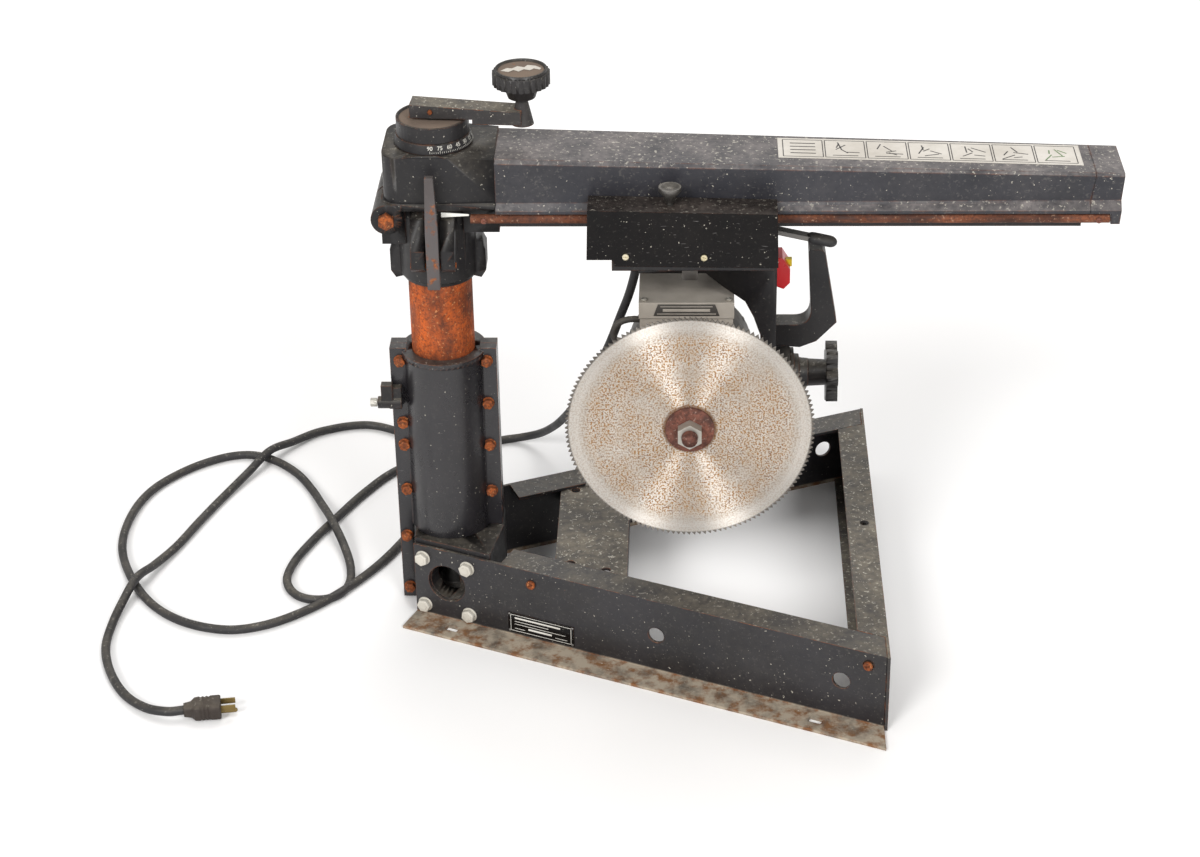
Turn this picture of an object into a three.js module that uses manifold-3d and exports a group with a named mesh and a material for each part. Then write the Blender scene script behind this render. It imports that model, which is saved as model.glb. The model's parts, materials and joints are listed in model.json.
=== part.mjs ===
// Ten-inch radial arm saw on its V-shaped base frame, with guard and table removed.
// Millimetres, +Z up. X runs along the arm towards the operator, the column stands at X = Y = 0
// while the parts are made, and the last lines move the whole saw over its own middle.
import * as THREE from 'three';
import { mergeVertices } from 'three/addons/utils/BufferGeometryUtils.js';
import Module from 'manifold-3d';

const wasm = await Module();
wasm.setup();

// ---------------------------------------------------------------- driving dimensions
const GAP = 0.3; // between pieces that touch
const RUN = 0.6; // between pieces that turn or slide in each other

// base frame
const SHEET = 3.2; // rail sheet thickness
const RAIL_HEIGHT = 88.9;
const RAIL_FLANGE = 33;
const RAIL_LENGTH = 542;
const RAIL_ANGLE = THREE.MathUtils.degToRad(23.13);
const RAIL_START_X = -39;
const RAIL_START_Y = 42.6; // half distance between the rails' outer faces at their rear ends
const RAIL_NOTCH = 104; // length of rail without a top flange, beside the base casting
const FRONT_FLANGE = 31;
const PORT_RADIUS = 22; // round port in the rails beside the base casting
const PORT_ALONG = 38.7;
const PORT_HEIGHT = 47.3;
const PORT_DEPTH = 28;
const CROSS_X = 115;
const CROSS_WIDTH = 77;
const CROSS_DEPTH = 32;
const PAD_TOP = 95; // top of the base casting

// column and its support
const TUBE_RADIUS = 33;
const TUBE_WALL = 3.5;
const TUBE_BOTTOM = 55;
const SUPPORT_RADIUS = 42.5;
const SUPPORT_TOP = 307.5;
const SUPPORT_FLANGE = 56; // half width over the bolting flanges
const FLANGE_THICK = 12; // of one half
const FLANGE_TOP = 310.5;
const SCREW_RADIUS = 8;
const SCREW_BOTTOM = 60;
const NUT_TOP = 150;

// arm
const HEAD_TOP = 541;
const HEAD_BOTTOM = 485;
const HEAD_HALF_WIDTH = 46;
const HEAD_REAR = 50;
const HEAD_FRONT = 63; // where the arm's sheet cover starts
const NECK_FRONT = 66; // where the arm's channel is bolted on
const COLLAR_RADIUS = 41.5;
const COLLAR_BOTTOM = 394;
const ARM_END = 690;
const ARM_CAP_LENGTH = 28;
const ARM_REAR_TOP = 537.5;
const ARM_REAR_HALF = 42.8;
const ARM_FRONT_TOP = 518.5;
const ARM_FRONT_HALF = 37.2;
const FLARE_TOP = 491;
const FLARE_HALF = 47.5;
const ARM_SKIN = 2.5;
const COVER_BOTTOM = 480.5;
const ROD_RADIUS = 4.76;
const ROD_Y = 44;
const ROD_Z = 474.6;
const ROD_REAR = 38;
const BEAM_DEPTH = 20;
const BEAM_WALL = 8;

// index dial and elevation crank on top of the column
const DIAL_RADIUS = 40;
const DIAL_HEIGHT = 10.5;
const CAP_RADIUS = 36.7;
const CAP_HEIGHT = 16.7;
const CRANK_RADIUS = 91;
const CRANK_WIDTH = 24;
const CRANK_HEIGHT = 14.2;
const KNOB_RADIUS = 29;
const KNOB_HEIGHT = 16;
const KNOB_CUP = 14;
const SPINDLE_RADIUS = 5;

// arm lock lever
const EAR_WIDTH = 14;
const LEVER_WIDTH = 13.5;
const LEVER_THICK = 7;
const LEVER_PIN_Y = -55;
const LEVER_PIN_Z = 428;

// rear clamp
const CLAMP_X = -46;
const CLAMP_Z = 476;
const CLAMP_RADIUS = 16;
const CLAMP_BOLT_RADIUS = 5;

// carriage
const PIN_X = 258; // kingpin, and the motor's middle, at rest
const CARRIAGE_REAR = 166;
const CARRIAGE_FRONT = 342;
const CARRIAGE_TOP = 461;
const CARRIAGE_FLOOR = 448;
const COVER_HALF = 80; // half width over the side covers
const COVER_SKIN = 2;
const COVER_REAR = 155;
const COVER_FRONT = 346;
const COVER_TOP_REAR = 500;
const COVER_TOP_FRONT = 495.5;
const ROLLER_RADIUS = 11.5;
const ROLLER_GROOVE = 9.6;
const ROLLER_REAR_X = 186;
const ROLLER_FRONT_X = 326;
const ROLLER_PIN = 4;
const STUD_X = 238;
const STUD_Y = 60;
const STUD_RADIUS = 3.5;

// yoke, handle, levers
const YOKE_TOP = 428;
const YOKE_PLATE = 14;
const YOKE_HALF = 45;
const YOKE_REAR = 206;
const YOKE_FRONT = 346;
const KINGPIN_RADIUS = 8;
const BEVEL_Z = 276; // bevel axis height
const PIVOT_RADIUS = 33;
const PIVOT_FRONT = 362;
const TRUNNION_RADIUS = 14;
const HANDLE_HALF = 12;
const SWIVEL_HUB = 22;
const SWIVEL_BAR = { bend: 86, end: 134, drop: 9.5, half: 5.5, thick: 5 };
const GRIP_RADIUS = 7.8;

// motor and arbor
const MOTOR_Z = 272;
const MOTOR_RADIUS = 66;
const MOTOR_WALL = 6;
const MOTOR_FRONT = -60;
const MOTOR_REAR = 62;
const BELL_FRONT = -98;
const BELL_REAR = 84;
const BOX_REAR_X = 206;
const BOX_FRONT_X = 303;
const BOX_NEAR = -54;
const BOX_FAR = 26;
const BOX_TOP = 385;
const ARBOR_RADIUS = 7.94; // five-eighths arbor
const ARBOR_END = -138;
const BLADE_Y = -112;
const BLADE_RADIUS = 127; // ten-inch blade
const BLADE_THICK = 2.2;
const BLADE_TEETH = 144;
const WASHER_RADIUS = 25;
const BEVEL_KNOB_RADIUS = 33;

// mains cord
const CORD_RADIUS = 4.8;
const GLAND_X = 203;
const GLAND_Y = 38;
const HANGING_LENGTH = 580; // of cord, down to where it lies on the floor
const PLUG_LENGTH = 38;
const PLUG_HEIGHT = 20;

// ---------------------------------------------------------------- materials
const paint = { color: 0x2b2c31, roughness: 0.42, metalness: 0.25 };
const castBlack = { color: 0x1e1e21, roughness: 0.5, metalness: 0.2 };
const gloss = { color: 0x121214, roughness: 0.25, metalness: 0.2 };
const rust = { color: 0x8a4a22, roughness: 0.85, metalness: 0.2 };
const steel = { color: 0x8d8d8c, roughness: 0.45, metalness: 0.9 };
const zinc = { color: 0xb4b2ab, roughness: 0.4, metalness: 0.85 };
const plastic = { color: 0x17161a, roughness: 0.55, metalness: 0 };
const rubber = { color: 0x1a1a1c, roughness: 0.75, metalness: 0 };
const aluminium = { color: 0x9a968c, roughness: 0.5, metalness: 0.7 };
const bladeSteel = { color: 0xb9b4a6, roughness: 0.35, metalness: 0.9 };
const red = { color: 0xd01f22, roughness: 0.4, metalness: 0 };
const yellow = { color: 0xd8c51c, roughness: 0.45, metalness: 0 };

// ---------------------------------------------------------------- helpers
function part(name, geometry, look) {
  const shape = bare(geometry);
  shape.computeVertexNormals();
  const mesh = new THREE.Mesh(shape, new THREE.MeshStandardMaterial(look));
  mesh.name = name;
  return mesh;
}

function placed(mesh, x, y, z) {
  mesh.position.set(x, y, z);
  return mesh;
}

function group(x, y, z, ...children) {
  const made = new THREE.Group();
  made.position.set(x, y, z);
  made.add(...children);
  return made;
}

// Shared vertices merged, and the flat triangles at a lathe's poles left out.
function bare(geometry) {
  const copy = geometry.clone();
  copy.deleteAttribute('normal');
  copy.deleteAttribute('uv');
  const merged = mergeVertices(copy, 1e-4);
  const kept = [];
  const corners = merged.index.array;
  for (let i = 0; i < corners.length; i += 3) {
    const [a, b, c] = corners.subarray(i, i + 3);
    if (a !== b && b !== c && c !== a) kept.push(a, b, c);
  }
  merged.setIndex(kept);
  return merged;
}

function solidOf(geometry) {
  const merged = bare(geometry);
  return new wasm.Manifold(new wasm.Mesh({
    numProp: 3,
    vertProperties: new Float32Array(merged.attributes.position.array),
    triVerts: new Uint32Array(merged.index.array),
  }));
}

function geometryOf(solid) {
  const mesh = solid.getMesh();
  const made = new THREE.BufferGeometry();
  made.setAttribute('position', new THREE.BufferAttribute(new Float32Array(mesh.vertProperties), 3));
  made.setIndex(new THREE.BufferAttribute(new Uint32Array(mesh.triVerts), 1));
  made.computeVertexNormals();
  return made;
}

function join(...geometries) {
  return geometryOf(geometries.map(solidOf).reduce((whole, next) => whole.add(next)));
}

function cut(geometry, ...tools) {
  return geometryOf(tools.map(solidOf).reduce((whole, tool) => whole.subtract(tool), solidOf(geometry)));
}

function keep(geometry, region) {
  return geometryOf(solidOf(geometry).intersect(solidOf(region)));
}

function block(x0, x1, y0, y1, z0, z1) {
  const made = new THREE.BoxGeometry(x1 - x0, y1 - y0, z1 - z0);
  return made.translate((x0 + x1) / 2, (y0 + y1) / 2, (z0 + z1) / 2);
}

// A solid of revolution about the Z axis from [radius, z] points, closed on itself or ended on the axis.
function turned(profile, segments = 40) {
  const points = profile.map(([r, z]) => new THREE.Vector2(r, z));
  if (profile[0][0] > 0) points.push(points[0].clone());
  return new THREE.LatheGeometry(points, segments).rotateX(Math.PI / 2);
}

function disc(radius, z0, z1, segments = 40, topRadius = radius) {
  const made = new THREE.CylinderGeometry(topRadius, radius, z1 - z0, segments);
  return made.rotateX(Math.PI / 2).translate(0, 0, (z0 + z1) / 2);
}

function alongX(geometry) {
  return geometry.rotateY(Math.PI / 2);
}

// Lays a solid made about +Z along -Y, so that its z becomes -y.
function alongMinusY(geometry) {
  return geometry.rotateX(Math.PI / 2);
}

function outline(points) {
  return new THREE.Shape(points.map(([a, b]) => new THREE.Vector2(a, b)));
}

function extruded(shape, depth, curveSegments = 8) {
  return new THREE.ExtrudeGeometry(shape, { depth, bevelEnabled: false, curveSegments });
}

// Plates: an outline in one plane, carried along the third axis.
function plateXY(shape, z0, z1) {
  return extruded(shape, z1 - z0).translate(0, 0, z0);
}

function plateXZ(shape, y0, y1) {
  return extruded(shape, y1 - y0).rotateX(Math.PI / 2).translate(0, y1, 0);
}

function plateYZ(shape, x0, x1) {
  const turn = new THREE.Matrix4().makeBasis(
    new THREE.Vector3(0, 1, 0), new THREE.Vector3(0, 0, 1), new THREE.Vector3(1, 0, 0));
  return extruded(shape, x1 - x0).applyMatrix4(turn).translate(x0, 0, 0);
}

function mirroredY(geometry) {
  const made = bare(geometry).scale(1, -1, 1);
  const index = made.index;
  for (let i = 0; i < index.count; i += 3) {
    const kept = index.getX(i);
    index.setX(i, index.getX(i + 1));
    index.setX(i + 1, kept);
  }
  made.computeVertexNormals();
  return made;
}

function hexagon(acrossFlats, z0, z1) {
  return disc(acrossFlats / Math.sqrt(3), z0, z1, 6);
}

// ---------------------------------------------------------------- base frame
const railEndX = RAIL_START_X + RAIL_LENGTH * Math.cos(RAIL_ANGLE);
const frameHalf = RAIL_START_Y + RAIL_LENGTH * Math.sin(RAIL_ANGLE);

// Half distance between the rails' outer faces at a given X, less an inward offset.
function railHalfAt(x, inward = 0) {
  return RAIL_START_Y + (x - RAIL_START_X) * Math.tan(RAIL_ANGLE) - inward / Math.cos(RAIL_ANGLE);
}

// The rail on the -Y side: a Z section, bottom flange outwards and top flange inwards.
function nearRail() {
  const end = RAIL_LENGTH + 80;
  const web = block(0, end, 0, SHEET, 0, RAIL_HEIGHT);
  const foot = block(0, end, -RAIL_FLANGE, SHEET, 0, SHEET);
  const top = block(RAIL_NOTCH, end, 0, RAIL_FLANGE, RAIL_HEIGHT - SHEET, RAIL_HEIGHT);
  const holes = [
    [PORT_ALONG, PORT_HEIGHT, PORT_RADIUS],
    [285, 47, 9],
    [490.5, 47.4, 9.5],
    [519, 74, 6],
  ].map(([along, height, radius]) => alongMinusY(disc(radius, -10, 10, 28)).translate(along, 0, height));
  const slots = [52, 470].map((along) => block(along - 7, along + 7, -21, -13, -5, 10));
  const rail = cut(join(web, foot, top), ...holes, ...slots)
    .rotateZ(-RAIL_ANGLE)
    .translate(RAIL_START_X, -RAIL_START_Y, 0);
  return keep(rail, block(-200, railEndX - SHEET - GAP, -400, 0, -1, 200));
}

function frontRail() {
  const inner = railEndX - FRONT_FLANGE;
  const face = block(railEndX - SHEET, railEndX, -frameHalf, frameHalf, 0, RAIL_HEIGHT);
  const topEnd = (x) => railHalfAt(x, RAIL_FLANGE) - GAP * 2;
  const footEnd = (x) => railHalfAt(x, SHEET) - GAP * 2;
  const flange = (end, z) => plateXY(outline([
    [inner, -end(inner)],
    [railEndX, -end(railEndX)],
    [railEndX, end(railEndX)],
    [inner, end(inner)],
  ]), z, z + SHEET);
  const hole = disc(5, RAIL_HEIGHT - 20, RAIL_HEIGHT + 5, 20).translate(railEndX - 12, 2, 0);
  return cut(join(face, flange(topEnd, RAIL_HEIGHT - SHEET), flange(footEnd, 0)), hole);
}

function crossMember() {
  const top = RAIL_HEIGHT - SHEET - GAP;
  const end = (x) => railHalfAt(x, SHEET) - GAP * 2;
  const x0 = CROSS_X;
  const x1 = CROSS_X + CROSS_WIDTH;
  const strip = (a, b, z0, z1) => plateXY(outline([
    [a, -end(a)], [b, -end(b)], [b, end(b)], [a, end(a)],
  ]), z0, z1);
  const holes = [[169.6, -89], [131.6, 75], [169.6, 89], [131.6, -75]]
    .map(([x, y]) => disc(5, top - 20, top + 5, 20).translate(x, y, 0));
  return cut(join(
    strip(x0, x1, top - SHEET, top),
    strip(x0, x0 + SHEET, top - CROSS_DEPTH, top),
    strip(x1 - SHEET, x1, top - CROSS_DEPTH, top),
  ), ...holes);
}

// The block between the rails' rear ends that carries the column support.
function baseCasting() {
  const rear = RAIL_START_X + 2;
  const front = 57;
  const side = (x) => railHalfAt(x, SHEET) - GAP * 2;
  const body = plateXY(outline([
    [rear, -side(rear)], [46, -side(46)], [front, -15], [front, 15], [46, side(46)], [rear, side(rear)],
  ]), 0, PAD_TOP);
  const bore = disc(TUBE_RADIUS + RUN, 6, PAD_TOP + 5);
  const port = alongMinusY(disc(PORT_RADIUS - 1, -PORT_DEPTH, 30, 28))
    .translate(PORT_ALONG, 0, PORT_HEIGHT)
    .rotateZ(-RAIL_ANGLE)
    .translate(RAIL_START_X, -RAIL_START_Y, 0);
  return cut(body, bore, port, mirroredY(port));
}

// ---------------------------------------------------------------- column support
// The half on the -Y side; the joint between the halves lies at Y = 0.
function nearSupportHalf() {
  const bottom = PAD_TOP + GAP;
  const flangeX = SUPPORT_RADIUS - 4;
  const shell = join(
    disc(SUPPORT_RADIUS, bottom, SUPPORT_TOP, 48),
    disc(SUPPORT_RADIUS + 2.5, SUPPORT_TOP - 6, SUPPORT_TOP, 48),
    block(flangeX, SUPPORT_FLANGE, -FLANGE_THICK, 0, bottom, FLANGE_TOP),
    block(-SUPPORT_FLANGE, -flangeX, -FLANGE_THICK, 0, bottom, FLANGE_TOP),
    block(-SUPPORT_FLANGE, RAIL_START_X - 3, -FLANGE_THICK, 0, 2, bottom + 10),
  );
  const half = block(-100, 100, -100, -GAP / 2, -10, FLANGE_TOP + 50);
  return keep(cut(shell, disc(TUBE_RADIUS + RUN, bottom - 5, FLANGE_TOP + 20, 48)), half);
}

// Gib bracket on the rear flange: a small casting with a bored boss for the gib screw.
function gibBracket() {
  const face = -FLANGE_THICK - GAP;
  const boss = alongX(disc(6.5, -70, -45, 24)).translate(0, face - 7, 250);
  return cut(join(
    block(-SUPPORT_FLANGE - 2, -45, face - 9, face, 243, 268),
    block(-66, -54, face - 12, face - 2, 254, 272),
    boss,
  ), alongX(disc(3.6, -75, -47, 20)).translate(0, face - 7, 250));
}

function gibScrew() {
  return join(
    alongX(disc(3, -74, -48, 20)),
    alongX(disc(4.6, -78, -71, 6)),
  ).translate(0, -FLANGE_THICK - GAP - 7, 250);
}

function elevationNut() {
  return cut(turned([
    [0, 6 + GAP], [26, 6 + GAP], [26, 14], [13, 20], [13, NUT_TOP], [0, NUT_TOP],
  ], 32), disc(SCREW_RADIUS + RUN, 12, NUT_TOP + 5, 24));
}

// ---------------------------------------------------------------- column, dial and crank
function columnTube() {
  const inner = TUBE_RADIUS - TUBE_WALL;
  return turned([
    [inner, TUBE_BOTTOM], [TUBE_RADIUS, TUBE_BOTTOM], [TUBE_RADIUS, HEAD_TOP], [inner, HEAD_TOP],
  ], 48);
}

const dialBottom = HEAD_TOP + GAP;
const capBottom = dialBottom + DIAL_HEIGHT;
const capTop = capBottom + CAP_HEIGHT;

function indexRing() {
  return turned([
    [20, dialBottom], [DIAL_RADIUS, dialBottom], [DIAL_RADIUS, dialBottom + 2],
    [CAP_RADIUS + 0.6, capBottom - GAP], [20, capBottom - GAP],
  ], 48);
}

function indexCap() {
  const rim = CAP_RADIUS - 2.2;
  const cap = turned([
    [SCREW_RADIUS + RUN, capBottom], [CAP_RADIUS, capBottom], [CAP_RADIUS, capTop], [rim, capTop],
    [rim, capTop - 2.5], [SCREW_RADIUS + RUN, capTop - 2.5],
  ], 48);
  return cut(cap, disc(4.5, capBottom - 5, capTop + 5, 20).translate(-2, -21, 0));
}

const crankBottom = capTop + 0.8;
const knobBottom = crankBottom + 21.5;
const spindleTop = knobBottom + 16;

function elevationScrew() {
  return join(
    disc(SCREW_RADIUS, SCREW_BOTTOM, crankBottom - GAP, 24),
    disc(SCREW_RADIUS - 2.2, SCREW_BOTTOM + 5, crankBottom + 10, 24),
  );
}

// Pressed channel with its open side down, a tapered boss at the end and the knob's spindle.
function crankArm() {
  const top = crankBottom + CRANK_HEIGHT;
  const half = CRANK_WIDTH / 2;
  const bar = plateXZ(outline([
    [-21, crankBottom], [-21, top], [80, top - 5], [CRANK_RADIUS, top - 5],
    [CRANK_RADIUS, crankBottom - 5], [42, crankBottom - 5], [42, crankBottom],
  ]), -half, half);
  const hollow = plateXZ(outline([
    [-25, crankBottom - 30], [-25, top - 3], [80, top - 8], [80, crankBottom - 30],
  ]), -half + 3, half - 3);
  const boss = disc(11.5, crankBottom - 7.3, top + 5, 28, 5.6).translate(CRANK_RADIUS, 0, 0);
  const spindle = disc(SPINDLE_RADIUS, top - 8, spindleTop, 20).translate(CRANK_RADIUS, 0, 0);
  const hub = disc(9.5, crankBottom, top - 2, 28);
  const bore = disc(SCREW_RADIUS - 2.2 + GAP, crankBottom - 5, crankBottom + 10 + GAP, 24);
  const pinHole = alongMinusY(disc(2.3 + GAP, -20, 20, 16)).translate(0, 0, crankBottom + 7);
  return cut(join(cut(bar, hollow), boss, spindle, hub), bore, pinHole);
}

function crankPin() {
  const face = CRANK_WIDTH / 2;
  return alongMinusY(disc(2.3, face - 2.8, face + 2, 16)).translate(0, 0, crankBottom + 7);
}

function crankKnob() {
  const flutes = 26;
  const rim = new THREE.Shape();
  const steps = flutes * 4;
  for (let i = 0; i < steps; i += 1) {
    const angle = (2 * Math.PI * i) / steps;
    const radius = KNOB_RADIUS - 0.7 + 0.7 * Math.cos(flutes * angle);
    if (i === 0) rim.moveTo(radius, 0);
    else rim.lineTo(radius * Math.cos(angle), radius * Math.sin(angle));
  }
  const base = knobBottom + KNOB_CUP;
  const top = base + KNOB_HEIGHT;
  const cup = disc(14, knobBottom, base + 1, 32, 19);
  const lip = disc(KNOB_RADIUS - 3, base + 1, top, 40);
  const body = join(cup, plateXY(rim, base, top - 3), lip);
  const recess = disc(KNOB_RADIUS - 5, top - 3, top + 5, 40);
  return cut(body, recess, disc(SPINDLE_RADIUS + RUN, knobBottom - 5, spindleTop + RUN, 20));
}

// ---------------------------------------------------------------- arm head
function headPlan(grow = 0) {
  const w = HEAD_HALF_WIDTH + grow;
  const rear = HEAD_REAR + grow;
  const corner = 22;
  const plan = new THREE.Shape();
  plan.moveTo(HEAD_FRONT, -ARM_REAR_HALF - grow);
  plan.lineTo(HEAD_FRONT, ARM_REAR_HALF + grow);
  plan.lineTo(15, w);
  plan.lineTo(corner - rear, w);
  plan.quadraticCurveTo(-rear, w, -rear, w - corner);
  plan.lineTo(-rear, corner - w);
  plan.quadraticCurveTo(-rear, -w, corner - rear, -w);
  plan.lineTo(15, -w);
  plan.closePath();
  return plan;
}

// One ear of the lock lever's bracket, seen along X.
function ear(x0) {
  const y = LEVER_PIN_Y;
  const z = LEVER_PIN_Z;
  return plateYZ(outline([
    [-28, z + 50], [y + 4, z + 47], [y - 7, z + 18], [y - 7, z - 2],
    [y - 3, z - 6], [y + 8, z - 6], [-36, z + 12], [-28, z + 16],
  ]), x0, x0 + EAR_WIDTH);
}

function armHead() {
  const fall = plateXZ(outline([
    [20, HEAD_TOP + 10], [20, HEAD_TOP], [HEAD_FRONT + 5, ARM_REAR_TOP], [HEAD_FRONT + 5, HEAD_TOP + 10],
  ]), -80, 80);
  const upper = cut(plateXY(headPlan(), HEAD_BOTTOM, HEAD_TOP), fall);
  const skirt = plateXY(headPlan(3), HEAD_BOTTOM, HEAD_BOTTOM + 7);
  const collar = disc(COLLAR_RADIUS, COLLAR_BOTTOM + 6, HEAD_BOTTOM + 1, 48);
  const lip = disc(TUBE_RADIUS + 4, COLLAR_BOTTOM, COLLAR_BOTTOM + 7, 48);
  const lug = plateXZ(outline([
    [36, 396], [44, 394], [49, 402], [49, 426], [45, 434], [36, 440],
  ]), -13, 13);
  const clamp = alongMinusY(disc(CLAMP_RADIUS, -50, 50, 32)).translate(CLAMP_X, 0, CLAMP_Z);
  const whole = join(
    upper, skirt, collar, lip, lug, lug.clone().rotateZ(Math.PI), clamp,
    ear(-LEVER_WIDTH / 2 - 2 - EAR_WIDTH), ear(LEVER_WIDTH / 2 + 1),
    block(CLAMP_X - 8, -30, -30, 30, 440, 480),
    block(30, NECK_FRONT, -34, 34, 455, HEAD_BOTTOM + 1),
  );
  return cut(
    whole,
    disc(TUBE_RADIUS + RUN, COLLAR_BOTTOM - 5, HEAD_TOP + 20, 48),
    block(-80, -TUBE_RADIUS + 3, -1.5, 1.5, 380, 494),
    alongMinusY(disc(CLAMP_BOLT_RADIUS + GAP, -60, 60, 24)).translate(CLAMP_X, 0, CLAMP_Z),
    alongX(disc(3 + GAP, -40, 40, 20)).translate(0, LEVER_PIN_Y, LEVER_PIN_Z),
  );
}

function clampBolt() {
  return join(
    disc(CLAMP_BOLT_RADIUS, -56, 52, 24),
    hexagon(15, 50 + GAP, 57),
    hexagon(15, -58, -50 - GAP),
  ).rotateX(Math.PI / 2).translate(CLAMP_X, 0, CLAMP_Z);
}

function leverPin() {
  const from = -LEVER_WIDTH / 2 - 2 - EAR_WIDTH;
  const to = LEVER_WIDTH / 2 + 2 + EAR_WIDTH;
  return alongX(disc(3, from - 1, to, 20)).translate(0, LEVER_PIN_Y, LEVER_PIN_Z);
}

function armLockLever() {
  const half = LEVER_WIDTH / 2 - 0.4;
  const near = LEVER_PIN_Y - 5 - LEVER_THICK;
  const bar = plateXZ(outline([
    [-half, 406], [half, 406], [half + 0.2, 470], [half - 2, 529], [-half + 2, 529], [-half, 470],
  ]), near, near + LEVER_THICK);
  const eye = alongX(disc(6.5, -half, half, 24)).translate(0, LEVER_PIN_Y, LEVER_PIN_Z);
  return cut(join(bar, eye), alongX(disc(3 + RUN, -20, 20, 20)).translate(0, LEVER_PIN_Y, LEVER_PIN_Z));
}

// ---------------------------------------------------------------- arm
function armShare(x) {
  return (x - HEAD_FRONT) / (ARM_END - HEAD_FRONT);
}

function armTop(x) {
  return THREE.MathUtils.lerp(ARM_REAR_TOP, ARM_FRONT_TOP, armShare(x));
}

function armHalf(x) {
  return THREE.MathUtils.lerp(ARM_REAR_HALF, ARM_FRONT_HALF, armShare(x));
}

// The arm's outer section at its rear end, drawn in from the outside by an offset.
function armSection(inset, bottom) {
  const w = ARM_REAR_HALF - inset;
  const top = ARM_REAR_TOP - inset;
  const right = [
    [FLARE_HALF - inset, bottom], [FLARE_HALF - inset, FLARE_TOP - 7], [w, FLARE_TOP],
    [w, top - 4], [w - 4, top],
  ];
  const left = right.map(([y, z]) => [-y, z]).reverse();
  return outline([...right, ...left]);
}

// Narrows and lowers an arm-long solid towards the operator's end; what is below the flare keeps its place.
function tapered(geometry) {
  const place = geometry.attributes.position;
  for (let i = 0; i < place.count; i += 1) {
    const z = place.getZ(i);
    if (z > FLARE_TOP - 2) {
      const x = place.getX(i);
      const rise = (z - FLARE_TOP) / (ARM_REAR_TOP - FLARE_TOP);
      place.setZ(i, FLARE_TOP + rise * (armTop(x) - FLARE_TOP));
      place.setY(i, (place.getY(i) * armHalf(x)) / ARM_REAR_HALF);
    }
  }
  return geometry;
}

// A slanted cut across the arm: everything behind the end cap's seam.
function behindSeam(offset) {
  const seam = ARM_END - ARM_CAP_LENGTH + offset;
  const low = COVER_BOTTOM - 20;
  const high = ARM_REAR_TOP + 10;
  return plateXZ(outline([[0, low], [seam - 10, low], [seam + 2, high], [0, high]]), -80, 80);
}

function armCover() {
  const x0 = HEAD_FRONT + GAP;
  const outer = tapered(plateYZ(armSection(0, COVER_BOTTOM), x0, ARM_END));
  const inner = tapered(plateYZ(armSection(ARM_SKIN, COVER_BOTTOM - 10), x0 - 5, ARM_END + 5));
  return keep(cut(outer, inner), behindSeam(0));
}

function armEndCap() {
  const outer = tapered(plateYZ(armSection(0, COVER_BOTTOM - 11), HEAD_FRONT, ARM_END));
  const tilted = plateXZ(outline([
    [0, 400], [ARM_END - 5, 400], [ARM_END - 5, COVER_BOTTOM - 11],
    [ARM_END, ARM_REAR_TOP], [0, ARM_REAR_TOP],
  ]), -80, 80);
  const hollow = block(0, ARM_END - 12, -28, 28, 450, 505);
  const rodBay = block(0, ARM_END - 14, -60, 60, 450, COVER_BOTTOM - 0.1);
  return cut(keep(outer, tilted), behindSeam(GAP), hollow, rodBay);
}

const beamTop = 483.5;
const beamBottom = beamTop - BEAM_DEPTH;
const beamHalf = ROD_Y - ROD_RADIUS - GAP;

function armBeam() {
  const x0 = NECK_FRONT + GAP;
  const x1 = ARM_END - ARM_CAP_LENGTH - 14;
  return cut(
    block(x0, x1, -beamHalf, beamHalf, beamBottom, beamTop),
    block(x0 - 5, x1 + 5, -beamHalf + BEAM_WALL, beamHalf - BEAM_WALL, beamBottom - 5, beamTop - 6),
  );
}

function trackRod() {
  return alongX(disc(ROD_RADIUS, ROD_REAR, ARM_END - 15, 24));
}

// ---------------------------------------------------------------- carriage
const rollerY = ROD_Y + ROD_RADIUS + GAP + ROLLER_GROOVE;

function carriageBody() {
  const wallOut = COVER_HALF - COVER_SKIN - GAP;
  const wallIn = wallOut - 5;
  const wall = block(CARRIAGE_REAR + 14, CARRIAGE_FRONT, -wallOut, -wallIn, 433, CARRIAGE_TOP);
  const floor = block(CARRIAGE_REAR, CARRIAGE_FRONT, -wallIn - 1, wallIn + 1, CARRIAGE_FLOOR, CARRIAGE_TOP);
  const pins = [];
  for (const x of [ROLLER_REAR_X, ROLLER_FRONT_X]) {
    for (const side of [-1, 1]) {
      pins.push(disc(ROLLER_PIN + 2.5, CARRIAGE_TOP - 2, ROD_Z - 6, 24).translate(x, side * rollerY, 0));
      pins.push(disc(ROLLER_PIN, CARRIAGE_TOP - 2, ROD_Z + 9, 24).translate(x, side * rollerY, 0));
    }
  }
  const studHole = disc(STUD_RADIUS + GAP, CARRIAGE_FLOOR - 5, CARRIAGE_TOP + 5, 20);
  return cut(
    join(floor, wall, mirroredY(wall), ...pins),
    disc(KINGPIN_RADIUS + GAP, CARRIAGE_FLOOR - 5, CARRIAGE_TOP + 5, 28).translate(PIN_X, 0, 0),
    studHole.clone().translate(STUD_X, -STUD_Y, 0),
    studHole.clone().translate(STUD_X, STUD_Y, 0),
  );
}

// Folded side cover on the -Y side: an upright face and a top flange that reaches over the arm's flare.
function nearCover() {
  const face = plateXZ(outline([
    [COVER_REAR, 446], [COVER_REAR + 1.5, COVER_TOP_REAR], [COVER_FRONT - 1.5, COVER_TOP_FRONT],
    [COVER_FRONT, 437], [COVER_REAR + 28, 439], [COVER_REAR + 26, 446],
  ]), -COVER_HALF, -COVER_HALF + COVER_SKIN);
  const flange = plateXZ(outline([
    [COVER_REAR + 1.5, COVER_TOP_REAR], [COVER_FRONT - 1.5, COVER_TOP_FRONT],
    [COVER_FRONT - 1.5, COVER_TOP_FRONT - COVER_SKIN], [COVER_REAR + 1.5, COVER_TOP_REAR - COVER_SKIN],
  ]), -COVER_HALF, -ROD_Y);
  return cut(join(face, flange), disc(STUD_RADIUS + RUN, 480, 510, 20).translate(STUD_X, -STUD_Y, 0));
}

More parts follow.
